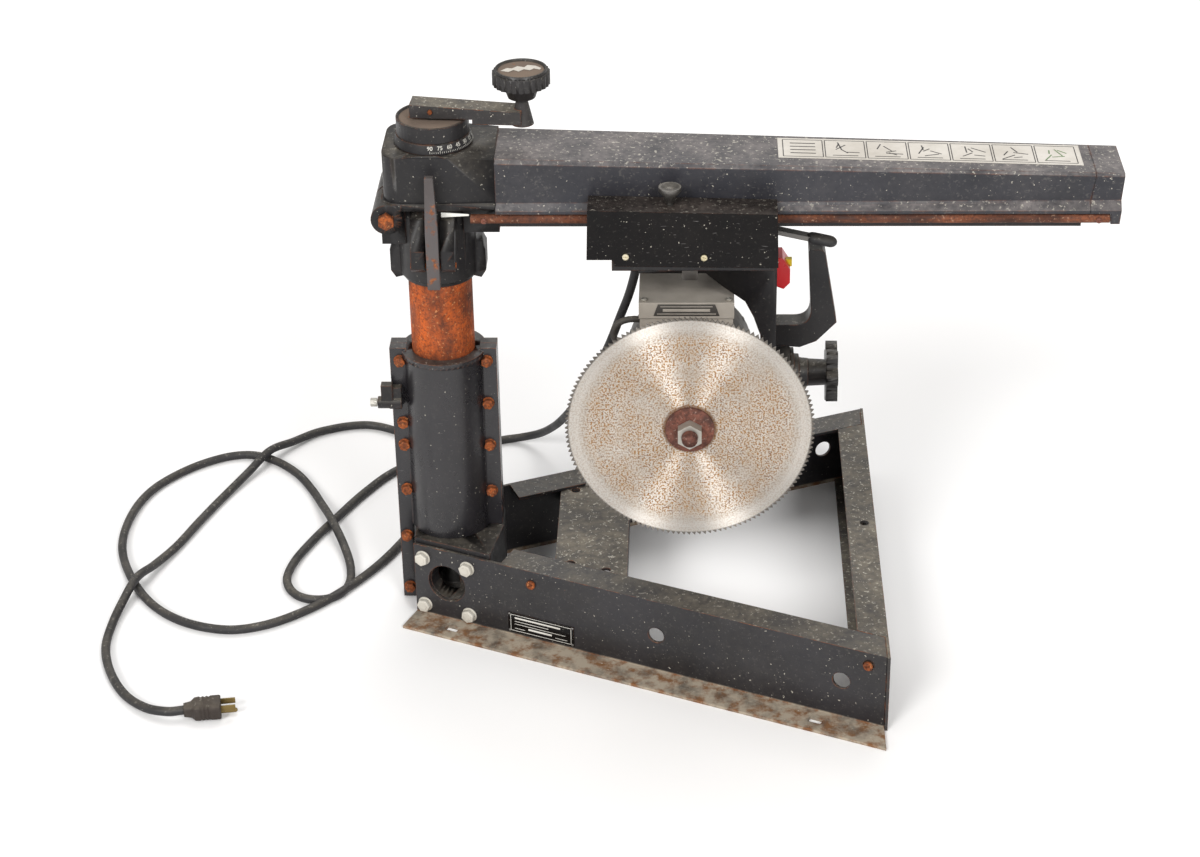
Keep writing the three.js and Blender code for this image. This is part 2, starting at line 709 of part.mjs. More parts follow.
function coverStud() {
  const seat = CARRIAGE_TOP - 9;
  return turned([
    [0, seat], [STUD_RADIUS, seat], [STUD_RADIUS, 501], [6, 502], [6, 506], [11.5, 513], [11.5, 517],
    [8, 517.5], [7, 514], [0, 514],
  ], 28);
}

function roller() {
  const half = 5;
  const groove = [];
  for (const z of [-3.2, -2.2, -1.1, 0, 1.1, 2.2, 3.2]) {
    const sag = ROD_RADIUS + GAP - Math.sqrt((ROD_RADIUS + GAP) ** 2 - z ** 2);
    groove.push([ROLLER_GROOVE + sag, z]);
  }
  return turned([
    [ROLLER_PIN + RUN, -half], [ROLLER_RADIUS - 0.5, -half], [ROLLER_RADIUS, -3.6],
    ...groove, [ROLLER_RADIUS, 3.6], [ROLLER_RADIUS - 0.5, half], [ROLLER_PIN + RUN, half],
  ], 32);
}

// ---------------------------------------------------------------- yoke and its controls
function kingpin() {
  const under = YOKE_TOP - YOKE_PLATE - GAP;
  return join(
    disc(KINGPIN_RADIUS, under - 6, CARRIAGE_TOP + 2, 28),
    hexagon(24, CARRIAGE_TOP + GAP, CARRIAGE_TOP + 9),
    disc(13, under - 6, under, 28),
  ).translate(PIN_X, 0, 0);
}

// The lever's flat bar, level out to its bend and then sloping down; z is counted from the hub's top.
function swivelBar(grow) {
  const { bend, end, drop, half, thick } = SWIVEL_BAR;
  return plateXZ(outline([
    [8, -1 - thick - grow], [bend, -1 - thick - grow], [end + grow, -1 - thick - drop - grow],
    [end + grow, -1 - drop + grow], [bend, -1 + grow], [8, -1 + grow],
  ]), -half - grow, half + grow);
}

const swivelTop = CARRIAGE_FLOOR - RUN;

function swivelLever() {
  const depth = swivelTop - YOKE_TOP - RUN;
  const bore = disc(KINGPIN_RADIUS + RUN, -depth - 5, 5, 28);
  return cut(join(disc(SWIVEL_HUB, -depth, 0, 36), swivelBar(0)), bore);
}

// Moulded sleeve over the lever's end.
function swivelGrip() {
  const { bend, end, drop, thick } = SWIVEL_BAR;
  const tilt = Math.atan2(drop, end - bend);
  const sleeve = new THREE.CapsuleGeometry(GRIP_RADIUS, 17, 5, 20)
    .rotateZ(Math.PI / 2)
    .scale(1, 1, 0.72)
    .rotateY(tilt)
    .translate(end, 0, -1 - thick / 2 - drop);
  return cut(sleeve, swivelBar(GAP));
}

function yoke() {
  const half = YOKE_HALF;
  const under = YOKE_TOP - YOKE_PLATE;
  const plate = block(YOKE_REAR, YOKE_FRONT, -half, half, under, YOKE_TOP);
  const leg = plateXZ(outline([
    [274, YOKE_TOP - 2], [274, under], [290, 400], [314, 382], [323, 364], [331, 340],
    [333, BEVEL_Z], [YOKE_FRONT, BEVEL_Z], [YOKE_FRONT, YOKE_TOP - 2],
  ]), -half, half);
  const taper = [-1, 1].map((side) => plateYZ(outline([
    [side * 34, BEVEL_Z - 2], [side * 60, BEVEL_Z - 2], [side * 60, 360], [side * half, 352],
  ]), 320, 360));
  const pivot = alongX(disc(PIVOT_RADIUS, 333, PIVOT_FRONT, 40)).translate(0, 0, BEVEL_Z);
  const glandSeat = disc(13, under, YOKE_TOP, 28).translate(GLAND_X, GLAND_Y, 0);
  return cut(
    join(plate, cut(leg, ...taper), pivot, glandSeat),
    disc(KINGPIN_RADIUS + RUN, under - 5, YOKE_TOP + 5, 28).translate(PIN_X, 0, 0),
    alongX(disc(TRUNNION_RADIUS + RUN, 320, 380, 32)).translate(0, 0, BEVEL_Z),
    disc(CORD_RADIUS + 2 + GAP, under - 5, YOKE_TOP + 5, 28).translate(GLAND_X, GLAND_Y, 0),
  );
}

function handle() {
  const x0 = YOKE_FRONT + GAP;
  const shape = new THREE.Shape();
  shape.moveTo(x0, 314);
  shape.lineTo(372, 312);
  shape.lineTo(389, 319);
  shape.lineTo(409.5, 341);
  shape.lineTo(396, 420);
  shape.lineTo(393, 424);
  shape.lineTo(380, 424);
  shape.lineTo(379, 421);
  shape.lineTo(382.5, 356);
  shape.quadraticCurveTo(383, 338, 366, 338);
  shape.lineTo(x0, 338);
  shape.closePath();
  return plateXZ(shape, -HANDLE_HALF, HANDLE_HALF);
}

function powerSwitch() {
  const body = plateXZ(outline([
    [0, 0], [0, -32], [7.5, -35], [14, -28], [14, -13], [6, 0],
  ]), -13, 13);
  return cut(body, block(8, 30, -3 - GAP, 3 + GAP, -14 - GAP, -6 + GAP));
}

function safetyKey() {
  return block(8 + GAP, 16, -3, 3, -14, -6);
}

function bevelKnob() {
  const lobes = new THREE.Shape();
  const steps = 70;
  for (let i = 0; i < steps; i += 1) {
    const angle = (2 * Math.PI * i) / steps;
    const radius = BEVEL_KNOB_RADIUS - 4 + 4 * Math.cos(7 * angle);
    if (i === 0) lobes.moveTo(radius, 0);
    else lobes.lineTo(radius * Math.cos(angle), radius * Math.sin(angle));
  }
  const wheel = plateXY(lobes, 18, 30);
  const hub = disc(14.5, 0, 19, 32, 13.5);
  return alongX(cut(join(wheel, hub), disc(6 + RUN, -5, 22, 24)));
}

const glandTop = YOKE_TOP - YOKE_PLATE - GAP;
const glandBottom = glandTop - 10;

function cordGland() {
  return turned([
    [0, glandBottom], [CORD_RADIUS + 2.4, glandBottom], [CORD_RADIUS + 5, glandTop - 5],
    [CORD_RADIUS + 5, glandTop], [CORD_RADIUS + 2, glandTop],
    [CORD_RADIUS + 2, glandTop + 8], [0, glandTop + 8],
  ], 28);
}

// ---------------------------------------------------------------- motor
// The motor's parts are made about the arbor's axis, which runs along Y through the group's origin.
function motorHousing() {
  const shell = alongMinusY(turned([
    [MOTOR_RADIUS - MOTOR_WALL, -MOTOR_REAR], [MOTOR_RADIUS, -MOTOR_REAR],
    [MOTOR_RADIUS, -MOTOR_FRONT], [MOTOR_RADIUS - MOTOR_WALL, -MOTOR_FRONT],
  ], 48));
  const rise = BEVEL_Z - MOTOR_Z;
  const trunnion = alongX(disc(TRUNNION_RADIUS, MOTOR_RADIUS - 3, 101, 32)).translate(0, 0, rise);
  return join(shell, trunnion);
}

function frontBell() {
  const z0 = -MOTOR_FRONT + GAP;
  return alongMinusY(turned([
    [ARBOR_RADIUS + RUN, z0], [MOTOR_RADIUS, z0], [MOTOR_RADIUS, z0 + 8], [48, z0 + 20],
    [26, -BELL_FRONT - 6], [24, -BELL_FRONT], [ARBOR_RADIUS + RUN, -BELL_FRONT],
  ], 48));
}

function rearBell() {
  const z1 = -MOTOR_REAR - GAP;
  return alongMinusY(turned([
    [ARBOR_RADIUS + RUN, -BELL_REAR], [40, -BELL_REAR], [MOTOR_RADIUS - 6, -BELL_REAR + 6],
    [MOTOR_RADIUS, z1 - 6], [MOTOR_RADIUS, z1], [ARBOR_RADIUS + RUN, z1],
  ], 48));
}

function stator() {
  const outer = MOTOR_RADIUS - MOTOR_WALL - GAP;
  return alongMinusY(turned([[39, -40], [outer, -40], [outer, 36], [39, 36]], 40));
}

const boxTop = BOX_TOP - MOTOR_Z;
const boxX0 = BOX_REAR_X - PIN_X;
const boxX1 = BOX_FRONT_X - PIN_X;

function terminalBox() {
  const body = block(boxX0 + 1, boxX1 - 1, BOX_NEAR + 2, BOX_FAR, 20, boxTop - 2 - GAP);
  const hollow = block(boxX0 + 5, boxX1 - 5, BOX_NEAR + 6, BOX_FAR - 4, 20, boxTop + 5);
  const barrel = alongMinusY(disc(MOTOR_RADIUS + GAP, -200, 200, 96));
  return cut(cut(body, barrel), hollow);
}

// Folded aluminium plate: the flat top and a short front lip.
function terminalCover() {
  return join(
    block(boxX0, boxX1, BOX_NEAR, BOX_FAR, boxTop - 2, boxTop),
    block(boxX0, boxX1, BOX_NEAR, BOX_NEAR + 1.6, boxTop - 18, boxTop),
  );
}

function motorLead() {
  const y = -34;
  const path = new THREE.CatmullRomCurve3([
    [boxX0 + 1 - GAP, y, 84], [boxX0 - 10, y, 84], [boxX0 - 22, y, 79], [boxX0 - 27, y, 68],
    [boxX0 - 23, y, 56], [boxX0 - 15, y, 43], [boxX0 - 4, y, 32.5],
  ].map(([a, b, c]) => new THREE.Vector3(a, b, c)));
  const barrel = alongMinusY(disc(MOTOR_RADIUS + GAP, -200, 200, 96));
  return cut(tube(path, 3.4, 14, 10), barrel);
}

function bevelStud() {
  return alongX(disc(6, 101 + GAP, 142, 24)).translate(0, 0, BEVEL_Z - MOTOR_Z);
}

// Shaft and rotor core are pressed together and turn as one.
function arborShaft() {
  const seat = -BLADE_Y - BLADE_THICK / 2 - 6 - GAP;
  return alongMinusY(join(
    disc(ARBOR_RADIUS, -BELL_REAR + 2, -ARBOR_END, 28),
    disc(38, -40, 36, 40),
    disc(12, -BELL_FRONT + 1, seat - GAP, 28),
  ));
}

function flangeWasher(z0, dished) {
  const z1 = z0 + 6;
  const bore = ARBOR_RADIUS + GAP;
  const profile = dished
    ? [[bore, z0], [WASHER_RADIUS, z0], [WASHER_RADIUS, z0 + 3], [16, z1], [bore, z1]]
    : [[bore, z0], [16, z0], [WASHER_RADIUS, z0 + 3], [WASHER_RADIUS, z1], [bore, z1]];
  return alongMinusY(turned(profile, 40));
}

function blade() {
  const shape = new THREE.Shape();
  for (let i = 0; i < BLADE_TEETH; i += 1) {
    const tip = (-2 * Math.PI * i) / BLADE_TEETH;
    const gullet = tip - (2 * Math.PI * 0.72) / BLADE_TEETH;
    if (i === 0) shape.moveTo(BLADE_RADIUS, 0);
    else shape.lineTo(BLADE_RADIUS * Math.cos(tip), BLADE_RADIUS * Math.sin(tip));
    shape.lineTo((BLADE_RADIUS - 4) * Math.cos(gullet), (BLADE_RADIUS - 4) * Math.sin(gullet));
  }
  shape.closePath();
  const plate = plateXZ(shape, -BLADE_THICK / 2, BLADE_THICK / 2);
  return cut(plate, alongMinusY(disc(ARBOR_RADIUS + GAP, -5, 5, 28))).translate(0, BLADE_Y, 0);
}

function arborNut(z0) {
  return alongMinusY(cut(hexagon(24, z0, z0 + 12), disc(ARBOR_RADIUS + GAP, z0 - 5, z0 + 20, 28)));
}

// ---------------------------------------------------------------- cord
function tube(path, radius, steps, sides) {
  const section = new THREE.Shape();
  for (let i = 0; i < sides; i += 1) {
    const angle = (2 * Math.PI * i) / sides;
    if (i === 0) section.moveTo(radius, 0);
    else section.lineTo(radius * Math.cos(angle), radius * Math.sin(angle));
  }
  section.closePath();
  return new THREE.ExtrudeGeometry(section, { steps, bevelEnabled: false, extrudePath: path });
}

// Hanging stretch, from the gland down over the rear rail to the floor.
const HANGING = [
  [203, 38, 391], [201, 42, 374], [194, 53, 342], [184, 67, 308], [173, 84, 270], [160, 105, 230],
  [144, 137, 184], [128, 180, 136], [110, 234, 86], [94, 280, 48], [76, 313, 21], [54, 327, 8],
  [32, 326, CORD_RADIUS + 0.1],
];

// Floor stretch; where it passes over itself the third value lifts it in a long low hump.
const LYING = [
  [0, 311], [-45, 286], [-90, 253], [-122, 203], [-150, 143], [-172, 92], [-187, 45], [-188, 8],
  [-170, -20], [-140, -24], [-121, -3], [-120, 34, 6], [-133, 80, 10], [-153, 128, 15.5], [-169, 170, 9],
  [-185, 208, 5], [-208, 246], [-240, 277], [-270, 289], [-303, 281], [-342, 251], [-374, 205],
  [-388, 147], [-386, 82], [-364, 18], [-331, -36], [-291, -70], [-243, -85], [-204, -77], [-166, -52],
  [-130, -15], [-96, 35], [-70, 90], [-52, 145], [-45, 200, 6], [-47, 245, 10], [-55, 282, 15.5],
  [-73, 322, 9], [-102, 349], [-140, 362], [-190, 346, 5.5], [-222, 313, 9], [-244, 281, 15.5],
  [-264, 243, 9], [-286, 194, 5], [-306, 138], [-324, 82, 5.5], [-341, 38, 9], [-354, 1, 15.5],
  [-363, -36, 9], [-368, -78, 5], [-366, -122], [-352, -167], [-330, -206], [-303, -232, 7],
  [-278, -242.3, 9.8],
];
const PLUG_YAW = THREE.MathUtils.degToRad(9.5);
const PLUG_REAR = new THREE.Vector3(-262, -240, PLUG_HEIGHT / 2 + 0.2);

// A smooth run that never dips under the height where the cord rests on the floor.
class Route extends THREE.CatmullRomCurve3 {
  getPoint(t, target) {
    const point = super.getPoint(t, target);
    point.z = Math.max(point.z, CORD_RADIUS + 0.1);
    return point;
  }
}

function routeOf(points) {
  const level = CORD_RADIUS + 0.2;
  return points.map(([x, y, z]) => new THREE.Vector3(x, y, z ?? level));
}

// The whole run of the cord, straight into the plug at its far end.
function cordRoute() {
  const exit = new THREE.Vector3(GLAND_X, GLAND_Y, glandBottom - GAP);
  const towardsPlug = new THREE.Vector3(Math.cos(PLUG_YAW), Math.sin(PLUG_YAW), 0);
  const end = PLUG_REAR.clone().addScaledVector(towardsPlug, -GAP);
  const route = new Route([exit, ...routeOf(HANGING), ...routeOf(LYING), end]);
  route.arcLengthDivisions = 1200;
  return route;
}

// Part of a route, between two lengths along it.
class Stretch extends THREE.Curve {
  constructor(route, from, to) {
    super();
    this.route = route;
    this.from = from / route.getLength();
    this.to = to / route.getLength();
  }

  getPoint(t) {
    return this.route.getPointAt(THREE.MathUtils.lerp(this.from, this.to, t));
  }
}

function hangingCord() {
  return tube(new Stretch(cordRoute(), 0, HANGING_LENGTH - GAP / 2), CORD_RADIUS, 20, 10);
}

function lyingCord() {
  const route = cordRoute();
  return tube(new Stretch(route, HANGING_LENGTH + GAP / 2, route.getLength()), CORD_RADIUS, 78, 8);
}

// Three-pin mains plug, made along +X from its cord end and standing on Z = 0.
function plug() {
  const half = PLUG_HEIGHT / 2;
  const body = plateXY(outline([
    [0, -6], [8, -8], [12, -12.5], [PLUG_LENGTH, -12.5], [PLUG_LENGTH, 12.5], [12, 12.5], [8, 8], [0, 6],
  ]), 0, PLUG_HEIGHT);
  const x = PLUG_LENGTH - 2;
  const blades = [-6.35, 6.35].map((y) => block(x, x + 17, y - 0.8, y + 0.8, half - 1, half + 5.4));
  const earth = alongX(disc(2.4, x, x + 19, 16)).translate(0, 0, half - 5.5);
  return join(body, ...blades, earth);
}

// ---------------------------------------------------------------- assembly
const baseFrame = group(0, 0, 0,
  part('left_rail', nearRail(), paint),
  part('right_rail', mirroredY(nearRail()), paint),
  part('front_rail', frontRail(), paint),
  part('cross_member', crossMember(), paint),
  part('base_casting', baseCasting(), castBlack),
  part('support_left_half', nearSupportHalf(), paint),
  part('support_right_half', mirroredY(nearSupportHalf()), paint),
  part('gib_bracket', gibBracket(), castBlack),
  part('gib_screw', gibScrew(), zinc),
  part('elevation_nut', elevationNut(), steel),
);

const column = group(0, 0, 0,
  part('column_tube', columnTube(), rust),
  part('index_ring', indexRing(), castBlack),
  part('index_cap', indexCap(), castBlack),
);

const crank = group(0, 0, 0,
  part('elevation_screw', elevationScrew(), steel),
  part('crank_arm', crankArm(), paint),
  part('crank_pin', crankPin(), rust),
  placed(part('crank_knob', crankKnob(), plastic), CRANK_RADIUS, 0, 0),
);
crank.rotation.z = -THREE.MathUtils.degToRad(4);

const arm = group(0, 0, 0,
  part('arm_head', armHead(), castBlack),
  part('arm_beam', armBeam(), castBlack),
  part('arm_cover', armCover(), paint),
  part('arm_end_cap', armEndCap(), castBlack),
  placed(part('track_rod_left', trackRod(), rust), 0, -ROD_Y, ROD_Z),
  placed(part('track_rod_right', trackRod(), rust), 0, ROD_Y, ROD_Z),
  part('clamp_bolt', clampBolt(), rust),
  part('lever_pin', leverPin(), rust),
  part('arm_lock_lever', armLockLever(), steel),
);

const carriage = group(0, 0, 0,
  part('carriage_body', carriageBody(), castBlack),
  part('carriage_cover_left', nearCover(), gloss),
  part('carriage_cover_right', mirroredY(nearCover()), gloss),
);
for (const [side, sign] of [['left', -1], ['right', 1]]) {
  carriage.add(placed(part(`cover_stud_${side}`, coverStud(), steel), STUD_X, sign * STUD_Y, 0));
  carriage.add(placed(part(`roller_rear_${side}`, roller(), steel), ROLLER_REAR_X, sign * rollerY, ROD_Z));
  carriage.add(placed(part(`roller_front_${side}`, roller(), steel), ROLLER_FRONT_X, sign * rollerY, ROD_Z));
}

const swivelLock = group(PIN_X, 0, swivelTop,
  part('swivel_lever', swivelLever(), steel),
  part('swivel_grip', swivelGrip(), rubber),
);
swivelLock.rotation.z = -THREE.MathUtils.degToRad(4);

const yokeGroup = group(0, 0, 0,
  part('yoke', yoke(), castBlack),
  part('kingpin', kingpin(), steel),
  part('handle', handle(), castBlack),
  placed(part('cord_gland', cordGland(), rubber), GLAND_X, GLAND_Y, 0),
  placed(part('bevel_knob', bevelKnob(), plastic), 382, 0, BEVEL_Z),
  group(YOKE_FRONT + GAP, -4, 417,
    part('power_switch', powerSwitch(), red),
    part('safety_key', safetyKey(), yellow),
  ),
);

const washerSeat = -BLADE_Y + BLADE_THICK / 2 + GAP;
const motor = group(PIN_X, 0, MOTOR_Z,
  part('motor_housing', motorHousing(), aluminium),
  part('motor_front_bell', frontBell(), aluminium),
  part('motor_rear_bell', rearBell(), aluminium),
  part('stator', stator(), steel),
  part('terminal_box', terminalBox(), castBlack),
  part('terminal_cover', terminalCover(), aluminium),
  part('motor_lead', motorLead(), rubber),
  part('bevel_stud', bevelStud(), zinc),
  part('arbor_shaft', arborShaft(), steel),
  part('inner_flange', flangeWasher(-BLADE_Y - BLADE_THICK / 2 - GAP - 6, false), steel),
  part('saw_blade', blade(), bladeSteel),
  part('outer_flange', flangeWasher(washerSeat, true), rust),
  part('arbor_nut', arborNut(washerSeat + 6 + GAP), zinc),
);

const saw = group(0, 0, 0, baseFrame, column, crank, arm, carriage, swivelLock, yokeGroup, motor);
const cord = group(0, 0, 0,
  part('cord_hanging', hangingCord(), rubber),
  part('cord_lying', lyingCord(), rubber),
);
const plugMesh = placed(part('plug', plug(), rubber), PLUG_REAR.x, PLUG_REAR.y, 0.2);
plugMesh.rotation.z = PLUG_YAW;
cord.add(plugMesh);

// The origin is at floor level under the middle of the saw, the cord not counted.
saw.updateMatrixWorld(true);
const extent = new THREE.Box3().setFromObject(saw, true);
const middle = extent.getCenter(new THREE.Vector3());
const whole = group(-middle.x, -middle.y, -extent.min.z, saw, cord);

export default whole;
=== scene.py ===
"""Looks of a radial arm saw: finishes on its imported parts, and the small pieces that dress them."""

import json
import logging
import math
from dataclasses import dataclass, field
from enum import Enum

import bmesh
import bpy
from mathutils import Matrix, Vector

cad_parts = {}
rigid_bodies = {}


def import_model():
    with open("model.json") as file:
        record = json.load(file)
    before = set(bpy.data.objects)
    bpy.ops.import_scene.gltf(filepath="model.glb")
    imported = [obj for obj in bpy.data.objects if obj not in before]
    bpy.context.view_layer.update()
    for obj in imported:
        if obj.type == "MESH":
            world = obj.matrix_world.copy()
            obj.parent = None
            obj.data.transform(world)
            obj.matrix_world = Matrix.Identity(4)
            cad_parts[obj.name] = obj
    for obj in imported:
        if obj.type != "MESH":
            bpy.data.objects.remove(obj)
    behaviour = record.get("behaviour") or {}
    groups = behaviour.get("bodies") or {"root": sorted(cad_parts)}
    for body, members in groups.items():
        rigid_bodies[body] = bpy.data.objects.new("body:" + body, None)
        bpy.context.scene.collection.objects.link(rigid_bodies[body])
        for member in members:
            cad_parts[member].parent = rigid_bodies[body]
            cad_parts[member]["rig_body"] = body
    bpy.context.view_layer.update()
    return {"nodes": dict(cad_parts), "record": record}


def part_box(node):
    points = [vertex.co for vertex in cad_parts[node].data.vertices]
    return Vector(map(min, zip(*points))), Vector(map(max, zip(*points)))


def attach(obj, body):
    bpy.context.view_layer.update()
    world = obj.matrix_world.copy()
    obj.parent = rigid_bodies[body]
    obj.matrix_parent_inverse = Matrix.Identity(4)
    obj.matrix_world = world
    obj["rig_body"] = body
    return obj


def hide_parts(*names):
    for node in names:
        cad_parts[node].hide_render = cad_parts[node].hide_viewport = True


LOG = logging.getLogger("radial_arm_saw")
MM = 0.001
MERGE = 1e-6  # metres between points that are one point
SHARP = math.radians(32)  # an edge that turns by more is shaded as an edge

Material = bpy.types.Material
Shape = bmesh.types.BMesh
Socket = bpy.types.NodeSocket
Pair = tuple[float, float]
Triple = tuple[float, float, float]


class Side(Enum):
    """The two sides of the saw, seen from the column towards the operator."""

    BLADE = -1
    FAR = 1


class Drive(Enum):
    """What a screw or bolt head is turned by."""

    HEX = "hex"
    SLOT = "slot"


# ---------------------------------------------------------------- placing
@dataclass(frozen=True)
class Ground:
    """Turns the maker's millimetres, counted from the column's axis and the floor, into the frame's metres."""

    column_x: float
    rail_angle: float = math.radians(23.13)
    rail_start: Pair = (-39.0, 42.6)

    def at(self, x: float, y: float, z: float) -> Vector:
        """Gives a point in metres from millimetres about the column.

        Args:
            x: Along the arm.
            y: Away from the blade's side.
            z: Above the floor.

        Returns:
            The point in the frame.
        """
        return Vector((self.column_x + x * MM, y * MM, z * MM))

    def shift(self, x: float = 0.0, y: float = 0.0, z: float = 0.0) -> Matrix:
        """Gives the matrix that moves the origin to a point about the column, in millimetres."""
        return Matrix.Translation(self.at(x, y, z))

    def on_rail(self, along: float, out: float, height: float, side: Side) -> Vector:
        """Gives a point by its place on a base rail.

        Args:
            along: From the rail's rear end.
            out: Out from the web's outer face.
            height: Above the floor.
            side: Which rail.

        Returns:
            The point in the frame.
        """
        cosine, sine = math.cos(self.rail_angle), math.sin(self.rail_angle)
        x = self.rail_start[0] + along * cosine - out * sine
        y = self.rail_start[1] + along * sine + out * cosine
        return self.at(x, side.value * y, height)

    def rail_outward(self, side: Side) -> Vector:
        """Gives the direction that a rail's web faces."""
        return Vector((-math.sin(self.rail_angle), side.value * math.cos(self.rail_angle), 0.0))


def basis(across: Vector, up: Vector, out: Vector) -> Matrix:
    """Gives the matrix that turns X, Y and Z to three directions."""
    return Matrix((across, up, out)).transposed().to_4x4()


def seat(place: Vector, facing: Vector, turn: float = 0.0) -> Matrix:
    """Gives the matrix that stands a piece made along +Z on a surface.

    Args:
        place: Where its foot goes.
        facing: The way its +Z is to point.
        turn: Turn about its own axis, in radians.

    Returns:
        The placing matrix.
    """
    turned = facing.to_track_quat("Z", "Y").to_matrix().to_4x4()
    return Matrix.Translation(place) @ turned @ Matrix.Rotation(turn, 4, "Z")


def made(name: str, shape: Shape, finish: Material, body: str) -> bpy.types.Object:
    """Turns a finished shape into a piece that rides on a body.

    Args:
        name: The piece's name.
        shape: Its shape, already in place. It is freed.
        finish: Its material.
        body: The body that it moves with.

    Returns:
        The piece.
    """
    for face in shape.faces:
        face.material_index = 0
    mesh = bpy.data.meshes.new(name)
    shape.to_mesh(mesh)
    shape.free()
    mesh.materials.append(finish)
    mesh.shade_smooth()
    mesh.set_sharp_from_angle(angle=SHARP)
    piece = bpy.data.objects.new(name, mesh)
    bpy.context.scene.collection.objects.link(piece)
    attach(piece, body)
    LOG.info("%s: %d faces on %s", name, len(mesh.polygons), body)
    return piece


# ---------------------------------------------------------------- shapes, in millimetres
def moved(shape: Shape, place: Matrix) -> Shape:
    """Moves a whole shape, and gives it back."""
    bmesh.ops.transform(shape, matrix=place, verts=shape.verts)
    return shape


def softened(shape: Shape, width: float, segments: int = 2, least: float = 30.0) -> Shape:
    """Rounds the sharp edges of a shape.

    Args:
        shape: The shape.
        width: Bevel width.
        segments: Steps across the bevel.
        least: Only edges that turn by more than this many degrees are rounded.

    Returns:
        The shape.
    """
    limit = math.radians(least)
    sharp = [edge for edge in shape.edges if edge.is_manifold and edge.calc_face_angle() > limit]
    bmesh.ops.bevel(shape, geom=sharp, offset=width * MM, affect="EDGES", segments=segments, profile=0.5,
                    material=-1, clamp_overlap=True)
    return shape


def add_block(shape: Shape, x: Pair, y: Pair, z: Pair, place: Matrix = Matrix()) -> None:
    """Adds a block between three pairs of limits.

    Args:
        shape: What it is added to.
        x: Low and high limit along X.
        y: Low and high limit along Y.
        z: Low and high limit along Z.
        place: What moves it from there.
    """
    spans = (x, y, z)
    scale = Matrix.Diagonal([(high - low) * MM for low, high in spans] + [1.0])
    middle = Matrix.Translation([(low + high) / 2 * MM for low, high in spans])
    bmesh.ops.create_cube(shape, size=1.0, matrix=place @ middle @ scale)


def slab(x: Pair, y: Pair, z: Pair) -> Shape:
    """Makes a block between three pairs of limits."""
    shape = bmesh.new()
    add_block(shape, x, y, z)
    return shape


def copies(source: Shape, places: list[Matrix]) -> Shape:
    """Sets a shape down at several places and joins the copies into one.

    Args:
        source: The shape to repeat. It is freed.
        places: One matrix for each copy.

    Returns:
        The joined shape.
    """
    pattern = bpy.data.meshes.new("pattern")
    source.to_mesh(pattern)
    source.free()
    joined = bmesh.new()
    for place in places:
        one = pattern.copy()
        one.transform(place)
        joined.from_mesh(one)
        bpy.data.meshes.remove(one)
    bpy.data.meshes.remove(pattern)
    return joined


def turned_profile(profile: list[Pair], steps: int = 32) -> Shape:
    """Spins a profile of (radius, height) about Z; it is closed, or starts and ends on the axis.

    Args:
        profile: The outline from the bottom to the top.
        steps: Segments round the axis.

    Returns:
        The turned shape.
    """
    shape = bmesh.new()
    points = [shape.verts.new((radius * MM, 0.0, height * MM)) for radius, height in profile]
    edges = [shape.edges.new(pair) for pair in zip(points, points[1:])]
    bmesh.ops.spin(shape, geom=points + edges, cent=(0, 0, 0), axis=(0, 0, 1), angle=math.tau,
                   steps=steps, use_merge=True)
    bmesh.ops.remove_doubles(shape, verts=shape.verts, dist=MERGE)
    bmesh.ops.recalc_face_normals(shape, faces=shape.faces)
    return shape


def raised(outline: list[Triple], rise: Vector) -> Shape:
    """Makes a flat plate from its outline.

    Args:
        outline: The corners of one face.
        rise: From that face to the other one.

    Returns:
        The plate.
    """
    shape = bmesh.new()
    face = shape.faces.new([shape.verts.new(Vector(corner) * MM) for corner in outline])
    lifted = bmesh.ops.extrude_face_region(shape, geom=[face])["geom"]
    far = [part for part in lifted if isinstance(part, bmesh.types.BMVert)]
    bmesh.ops.translate(shape, vec=rise * MM, verts=far)
    bmesh.ops.recalc_face_normals(shape, faces=shape.faces)
    return shape


@dataclass(frozen=True)
class Fastener:
    """A bolt or screw head with its washer, made along +Z from the surface it sits on."""

    width: float
    height: float
    washer: float = 0.0
    drive: Drive = Drive.HEX
    washer_thick: float = 0.9

    def shape(self) -> Shape:
        """Builds the head, its drive and its washer.

        Returns:
            The shape.
        """
        shape = bmesh.new()
        slotted = self.drive is Drive.SLOT
        foot = self.washer_thick if self.washer else 0.0
        radius = self.width / (2 if slotted else math.sqrt(3))
        lift = Matrix.Translation((0, 0, (foot + self.height / 2) * MM))
        bmesh.ops.create_cone(shape, cap_ends=True, segments=24 if slotted else 6, radius1=radius * MM,
                              radius2=radius * MM, depth=self.height * MM, matrix=lift)
        softened(shape, self.height * 0.16)
        top = max(shape.faces, key=lambda face: face.calc_center_median().z)
        bmesh.ops.inset_region(shape, faces=[top], thickness=radius * 0.28 * MM)
        bmesh.ops.scale(shape, vec=(1.0, 0.26 if slotted else 1.0, 1.0), verts=top.verts)
        sunk = (-0.35 if slotted else 0.06) * self.height
        pushed = bmesh.ops.extrude_discrete_faces(shape, faces=[top])["faces"][0]
        bmesh.ops.translate(shape, vec=(0, 0, sunk * MM), verts=pushed.verts)
        if self.washer:
            bmesh.ops.create_cone(shape, cap_ends=True, segments=28, radius1=self.washer * MM,
                                  radius2=self.washer * 0.94 * MM, depth=foot * MM,
                                  matrix=Matrix.Translation((0, 0, foot / 2 * MM)))
        return shape


# ---------------------------------------------------------------- finishes
def linear(code: str) -> tuple[float, float, float, float]:
    """Turns an sRGB hex colour into Blender's linear one.

    Args:
        code: Six hex digits.

    Returns:
        Red, green, blue and an alpha of 1.
    """
    parts = [int(code[i:i + 2], 16) / 255 for i in (0, 2, 4)]
    red, green, blue = (c / 12.92 if c <= 0.04045 else ((c + 0.055) / 1.055) ** 2.4 for c in parts)
    return red, green, blue, 1.0


